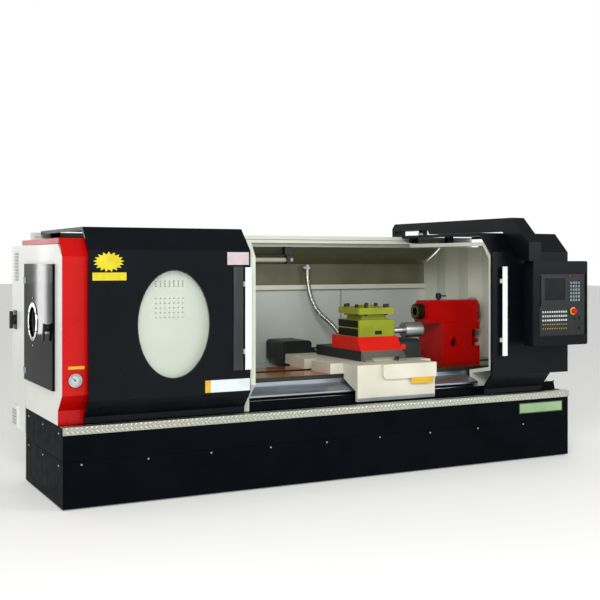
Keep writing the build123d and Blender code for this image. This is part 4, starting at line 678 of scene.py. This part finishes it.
# Blank films: vinyl stuck on the left door and the apron, with nothing printed on them. One is
# cut to a burst of seventeen points.
def thicken(depth):
    """In edit mode, gives a flat piece its thickness towards the front, and leaves edit mode."""
    bpy.ops.mesh.select_all(action="SELECT")
    bpy.ops.mesh.extrude_region_move()
    bpy.ops.transform.translate(value=(0, -depth / 1000, 0))
    bpy.ops.mesh.select_all(action="SELECT")
    bpy.ops.mesh.normals_make_consistent(inside=False)
    bpy.ops.object.mode_set(mode="OBJECT")


white_film = moulded("white_vinyl", "#ccd8da", "#dbe4e4", 0.35, 1.5, 0.01)
pink_film = moulded("pale_pink_vinyl", "#bfaeb1", "#cdbfc1", 0.35, 1.5, 0.01)
lemon_film = moulded("lemon_vinyl", "#c9b80b", "#dccb1c", 0.42, 1.5, 0.01)
burst_points, burst_wide, burst_high = 17, 95, 60
burst_middle = at(266, -30.0, 1450)
burst = outline(burst_middle, burst_wide, burst_high, 2 * burst_points, "TRIFAN")
rim = [v for v in burst.data.vertices if v.co.length > 0.01]
rim.sort(key=lambda v: math.atan2(v.co.y / burst_high, v.co.x / burst_wide))
valleys = {v.index for v in rim[::2]}
pick(burst, lambda v: v.index in valleys, "VERT")
bpy.ops.transform.resize(value=(0.76, 1, 0.72), center_override=burst_middle)
thicken(0.6)
settle(burst, "burst_film", lemon_film, "left_door_set")
door_films = [("lemon_door_film", (167, 374), (1340, 1387), lemon_film),
              ("pink_door_film", (1026, 1173), (1431, 1510), pink_film),
              ("white_door_film", (914, 1180), (640, 716), white_film),
              ("amber_door_film", (878, 913), (640, 716), yellow_film)]
film_depth = (-30.8, -29.7)
for name, across, up, film in door_films:
    settle(slab(across, film_depth, up, 0.3), name, film, "left_door_set")
settle(slab((2470, 2652), (76.8, 78.2), (600, 643), 0.3), "apron_film", yellow_film, "carriage_set")

# Travelling arm and control box: folded sheet in the doors' enamel, with a satin panel let into
# its front. The screen stands proud of the panel, behind a sheet of dark glass.
for name in ("gantry_arm", "control_box"):
    dress(name, door_enamel)
panel_film = moulded("satin_black_polycarbonate", "#0b0d0f", "#121518", 0.36, 1.2, 0.01, 0.35)
for name in ("control_panel", "screen_unit"):
    dress(name, panel_film)
# Liquid-crystal glass, switched off: blue-black, with a hard clear sheen.
screen_glass, tree, shader, place = bare_finish("unlit_screen_glass", {"Roughness": 0.1,
                                                                       "Specular IOR Level": 0.2})
haze = add_node(tree, "ShaderNodeTexNoise", {"Scale": 1000 / 110, "Detail": 1},
                {"Vector": (place, "Object")})
add_node(tree, "ShaderNodeValToRGB", {}, {"Fac": (haze, "Fac")}, {"Color": (shader, "Base Color")},
         [(0.3, "#0e1014"), (0.7, "#171a20")])
settle(slab((3427, 3615), (-197.3, -196.2), (1172, 1330), 0.3), "screen_glass", screen_glass,
       "gantry_set")

# Keys and buttons: rows of printed polyester keys under the screen, the pad's tops beside it,
# three black caps, a red lamp, and the stop button in its yellow collar.
pale_key = moulded("pale_polyester", "#b6bfbc", "#d2d9d6", 0.42, 1.0, 0.01)
straw_key = moulded("straw_polyester", "#877c31", "#a3963f", 0.42, 1.0, 0.01)
teal_key = moulded("teal_grey_polyester", "#5f7278", "#8799a0", 0.42, 1.0, 0.01)
key_left, key_low, key_pitch, row_pitch, key_face, pad_pitch = 3414, 968, 21.5, 30, -191.8, 25


def key_places(rows):
    """The keys' places on the panel, for rows counted up from the lowest."""
    return [(key_left + c * key_pitch, key_face, key_low + r * row_pitch) for c in range(11)
            for r in rows]


big_key = slab((-6.5, 6.5), (-6.5, 6.5), (0, 1.8), 0.8, origin)
settle(set_out(big_key, key_places((2, 3, 4)), "front"), "pale_keys", pale_key, "gantry_set")
small_key = slab((-5, 5), (-4.5, 4.5), (0, 1.8), 0.8, origin)
settle(set_out(small_key, key_places((0, 1)), "front"), "straw_keys", straw_key, "gantry_set")
pad_top = slab((-8, 8), (-8, 8), (0, 1), 0.4, origin)
pad_places = [(3673 + pad_pitch * c, -193.8, 1171 + pad_pitch * r) for c in range(4) for r in range(6)]
settle(set_out(pad_top, pad_places, "front"), "pad_key_tops", teal_key, "gantry_set")
cap_places = [(3715, -191.5, 1039), (3763, -191.5, 1039), (3763, -191.5, 965)]
settle(set_out(turned_head(9, 8.5, 1.5, 20), cap_places, "front"), "small_buttons", black_nylon,
       "gantry_set")
settle(set_out(turned_head(5, 8.5, 1.5, 16), [(3661, -191.5, 1345)], "front"), "red_lamp", red_enamel,
       "gantry_set")
dress("stop_button", red_enamel)
settle(set_out(turned_head(28, 5.8, 2, 40), [(3691, -195.2, 1091)], "front"), "stop_collar", yellow_film,
       "gantry_set")

# Carriage: an ivory-sprayed casting that spans the bed. A grey wiper strip is screwed along the
# apron's foot.
ivory_enamel = sprayed("ivory_casting_enamel", "#d2cfbc", "#dedccb", 0.4, 4, 0.08, 0.45)
dress("carriage", ivory_enamel)
settle(slab((2047, 2678), (97.5, 130), (493.5, 518), 3), "apron_wiper", passivated_zinc, "carriage_set")
dress("cross_motor", dark_casting)

# Cross slide and turret: ground steel and a dark hood under an orange-red block. The turret is
# a lime-sprayed square for four tools, clamped by black socket screws.
ground_steel = machined("ground_steel", "#8d8d85", "#bdbcb2", 0.3, 2, (1, 14, 1), 0.01)
dress("cross_slide", ground_steel)
dress("slide_hood", dark_casting)
orange_enamel = sprayed("orange_red_enamel", "#d01204", "#e01b08", 0.32, 3, 0.05, 0.25, 0.05)
dress("turret_base", orange_enamel)
lime_enamel = sprayed("lime_enamel", "#7f8804", "#99a30c", 0.34, 3, 0.05, 0.3, 0.05)
for name in ("turret_body", "turret_head"):
    dress(name, lime_enamel)
dress("tool_screws", black_nylon)
dress("turret_motor", machined("cast_aluminium", "#a5abaa", "#cdd1d0", 0.38, 5, (1, 1, 1), 0.02))
# Blued steel blanks close the left station and the socket in the body: dull blue-brown black.
blued_steel = machined("blued_steel", "#23211b", "#3a382d", 0.42, 8, (1, 1, 1), 0.02)
blank_across, blank_along = (2229.5, 2232.4), (409, 691)
settle(slab(blank_across, blank_along, (976, 1027), 1), "station_blank", blued_steel, "turret_set")
settle(slab(blank_across, blank_along, (914, 967), 1), "body_blank", blued_steel, "cross_slide_set")
settle(slab((2366, 2424), (395.4, 397.4), (925, 952), 1), "body_socket", blued_steel, "cross_slide_set")

# Tailstock: red castings, with a turned quill, a chromed handwheel and a black clamp lever. A
# brass ring wipes the quill's mouth.
for name in ("tailstock_base", "tailstock_barrel"):
    dress(name, red_enamel)
# Painted shade: the floors of the two openings of the casting are dark sheets that stand for the shade
# inside them. The drop's floor is a disc with its top point drawn up.
painted_shade_black = sprayed("painted_shade_black_casting", "#0a0504", "#160806", 0.8, 6, 0.2, 0.1)
pocket_floor = slab((3356, 3424), (628.5, 630.2), (797, 923), 0.5)
drop_radius, drop_rise, drop_thick = 29.4, 22, 1.5
drop_floor = outline(at(3180, 594.4, 822), drop_radius, drop_radius, 24, "NGON")
top_point = max(drop_floor.data.vertices, key=lambda v: v.co.y).index
pick(drop_floor, lambda v: v.index == top_point, "VERT")
bpy.ops.transform.translate(value=(0, 0, drop_rise / 1000))
thicken(drop_thick)
bpy.ops.object.transform_apply(location=True, rotation=True, scale=True)
settle(joined([drop_floor, pocket_floor]), "tailstock_hole_floors", painted_shade_black, "tailstock_set")
dress("quill", machined("oiled_quill_steel", "#2e2e2b", "#55544e", 0.3, 3, (1, 12, 12), 0.01))
dress("tailstock_handwheel", chrome)
dress("clamp_lever", black_nylon)
oiled_brass = machined("oiled_brass", "#8a7420", "#b89c36", 0.3, 4, (1, 1, 1), 0.01)
ring_x, ring_radius, ring_deep, ring_wall = 2898.7, 44, 3, 11
bpy.ops.object.select_all(action="DESELECT")
bpy.ops.mesh.primitive_cylinder_add(vertices=40, radius=ring_radius / 1000, depth=ring_deep / 1000,
                                    end_fill_type="NOTHING", location=at(ring_x, spindle_y, spindle_z),
                                    rotation=(0, math.radians(90), 0))
mouth = bpy.context.object
bpy.ops.object.transform_apply(location=True, rotation=True, scale=True)
settle(walled(mouth, ring_wall, -1, 0.8, 35), "quill_mouth_ring", oiled_brass, "quill_set")

# Work lamp: a frosted tube on a black clamp under the beam, with a thin stay rod above it. The
# clamp is told from the tube by its distance from the tube's middle.
lamp_y, lamp_z, lamp_radius = 1200, 1463, 18
lamp_finish, tree, shader, place = bare_finish("frosted_tube_and_black_clamp", {})
split = add_node(tree, "ShaderNodeSeparateXYZ", {}, {"Vector": (place, "Object")})
across = add_node(tree, "ShaderNodeCombineXYZ", {}, {"Y": (split, "Y"), "Z": (split, "Z")})
centre = at(0, lamp_y, lamp_z)
reach = add_node(tree, "ShaderNodeVectorMath", {"operation": "DISTANCE", 1: (0, centre.y, centre.z)},
                 {0: (across, "Vector")})
is_clamp = add_node(tree, "ShaderNodeMath", {"operation": "GREATER_THAN", 1: (lamp_radius + 0.4) / 1000},
                    {0: (reach, "Value")})
frost = add_node(tree, "ShaderNodeTexNoise", {"Scale": 1000 / 4, "Detail": 3},
                 {"Vector": (place, "Object")})
tube_tone = add_node(tree, "ShaderNodeValToRGB", {}, {"Fac": (frost, "Fac")}, {},
                     [(0.3, "#9c9b8c"), (0.7, "#b4b3a3")])
clamp_tone = add_node(tree, "ShaderNodeValToRGB", {}, {"Fac": (frost, "Fac")}, {},
                      [(0.3, "#0c0d0e"), (0.7, "#16181a")])
add_node(tree, "ShaderNodeMixRGB", {}, {"Fac": (is_clamp, "Value"), "Color1": (tube_tone, "Color"),
         "Color2": (clamp_tone, "Color")}, {"Color": (shader, "Base Color")})
add_node(tree, "ShaderNodeBump", {"Distance": 0.00003}, {"Height": (frost, "Fac")},
         {"Normal": (shader, "Normal")})
dress("work_lamp", lamp_finish)
stay_x, stay_long = 1503, 545
stay = set_out(turned_head(5, stay_long, 1, 16), [(stay_x, lamp_y, lamp_z + 44)], "right")
hanger = slab((stay_x, stay_x + 12), (lamp_y - 8, lamp_y + 8), (lamp_z + 16, lamp_z + 52), 2)
settle(joined([stay, hanger]), "lamp_stay", black_nylon, "machine")

# Floor and light: a plain pale floor and two broad soft lamps high in front, as in a product
# picture. A narrow upright lamp behind the left end gives the end door its bright stripe. The
# sky is white up to a third of its height and greyer overhead, like a lit studio wall.
bpy.ops.object.select_all(action="DESELECT")
bpy.ops.mesh.primitive_plane_add(size=80, location=(0, 20, 0))
floor = bpy.context.object
floor.name = "floor"
paper = bare_finish("pale_seamless_paper", {
    "Roughness": 0.7, "Specular IOR Level": 0.2, "Base Color": linear("#f6f6f4"),
    "Emission Color": linear("#ffffff"), "Emission Strength": 0.16})[0]
floor.data.materials.append(paper)


def soft_lamp(name, place, target, wide, high, watts):
    """An oblong lamp at a place in metres, turned towards a target."""
    light = bpy.data.lights.new(name, "AREA")
    light.shape = "RECTANGLE"
    light.size = wide
    light.size_y = high
    light.energy = watts
    lamp = bpy.data.objects.new(name, light)
    lamp.location = place
    lamp.rotation_euler = (Vector(target) - Vector(place)).to_track_quat("-Z", "Y").to_euler()
    bpy.context.scene.collection.objects.link(lamp)


soft_lamp("key_lamp", (-3.5, -6.0, 4.5), (0, 0, 0.8), 2.5, 2.5, 260)
soft_lamp("fill_lamp", (4.5, -5.0, 3.0), (0.5, 0, 0.9), 2.5, 2.5, 100)
soft_lamp("strip_lamp", (-3.06, 4.64, 1.6), (-1.9, 0.0, 1.2), 0.1, 1.9, 5)
world = bpy.data.worlds.new("studio")
world.use_nodes = True
tree = world.node_tree
sky_place = add_node(tree, "ShaderNodeTexCoord")
sky_parts = add_node(tree, "ShaderNodeSeparateXYZ", {}, {"Vector": (sky_place, "Generated")})
add_node(tree, "ShaderNodeValToRGB", {}, {"Fac": (sky_parts, "Z")},
         {"Color": (tree.nodes["Background"], "Color")},
         [(0.32, "#ffffff"), (0.5, "#b4b4b4"), (0.85, "#9a9a9a")])
tree.nodes["Background"].inputs["Strength"].default_value = 1.0
bpy.context.scene.world = world
bpy.context.scene.view_settings.view_transform = "Standard"
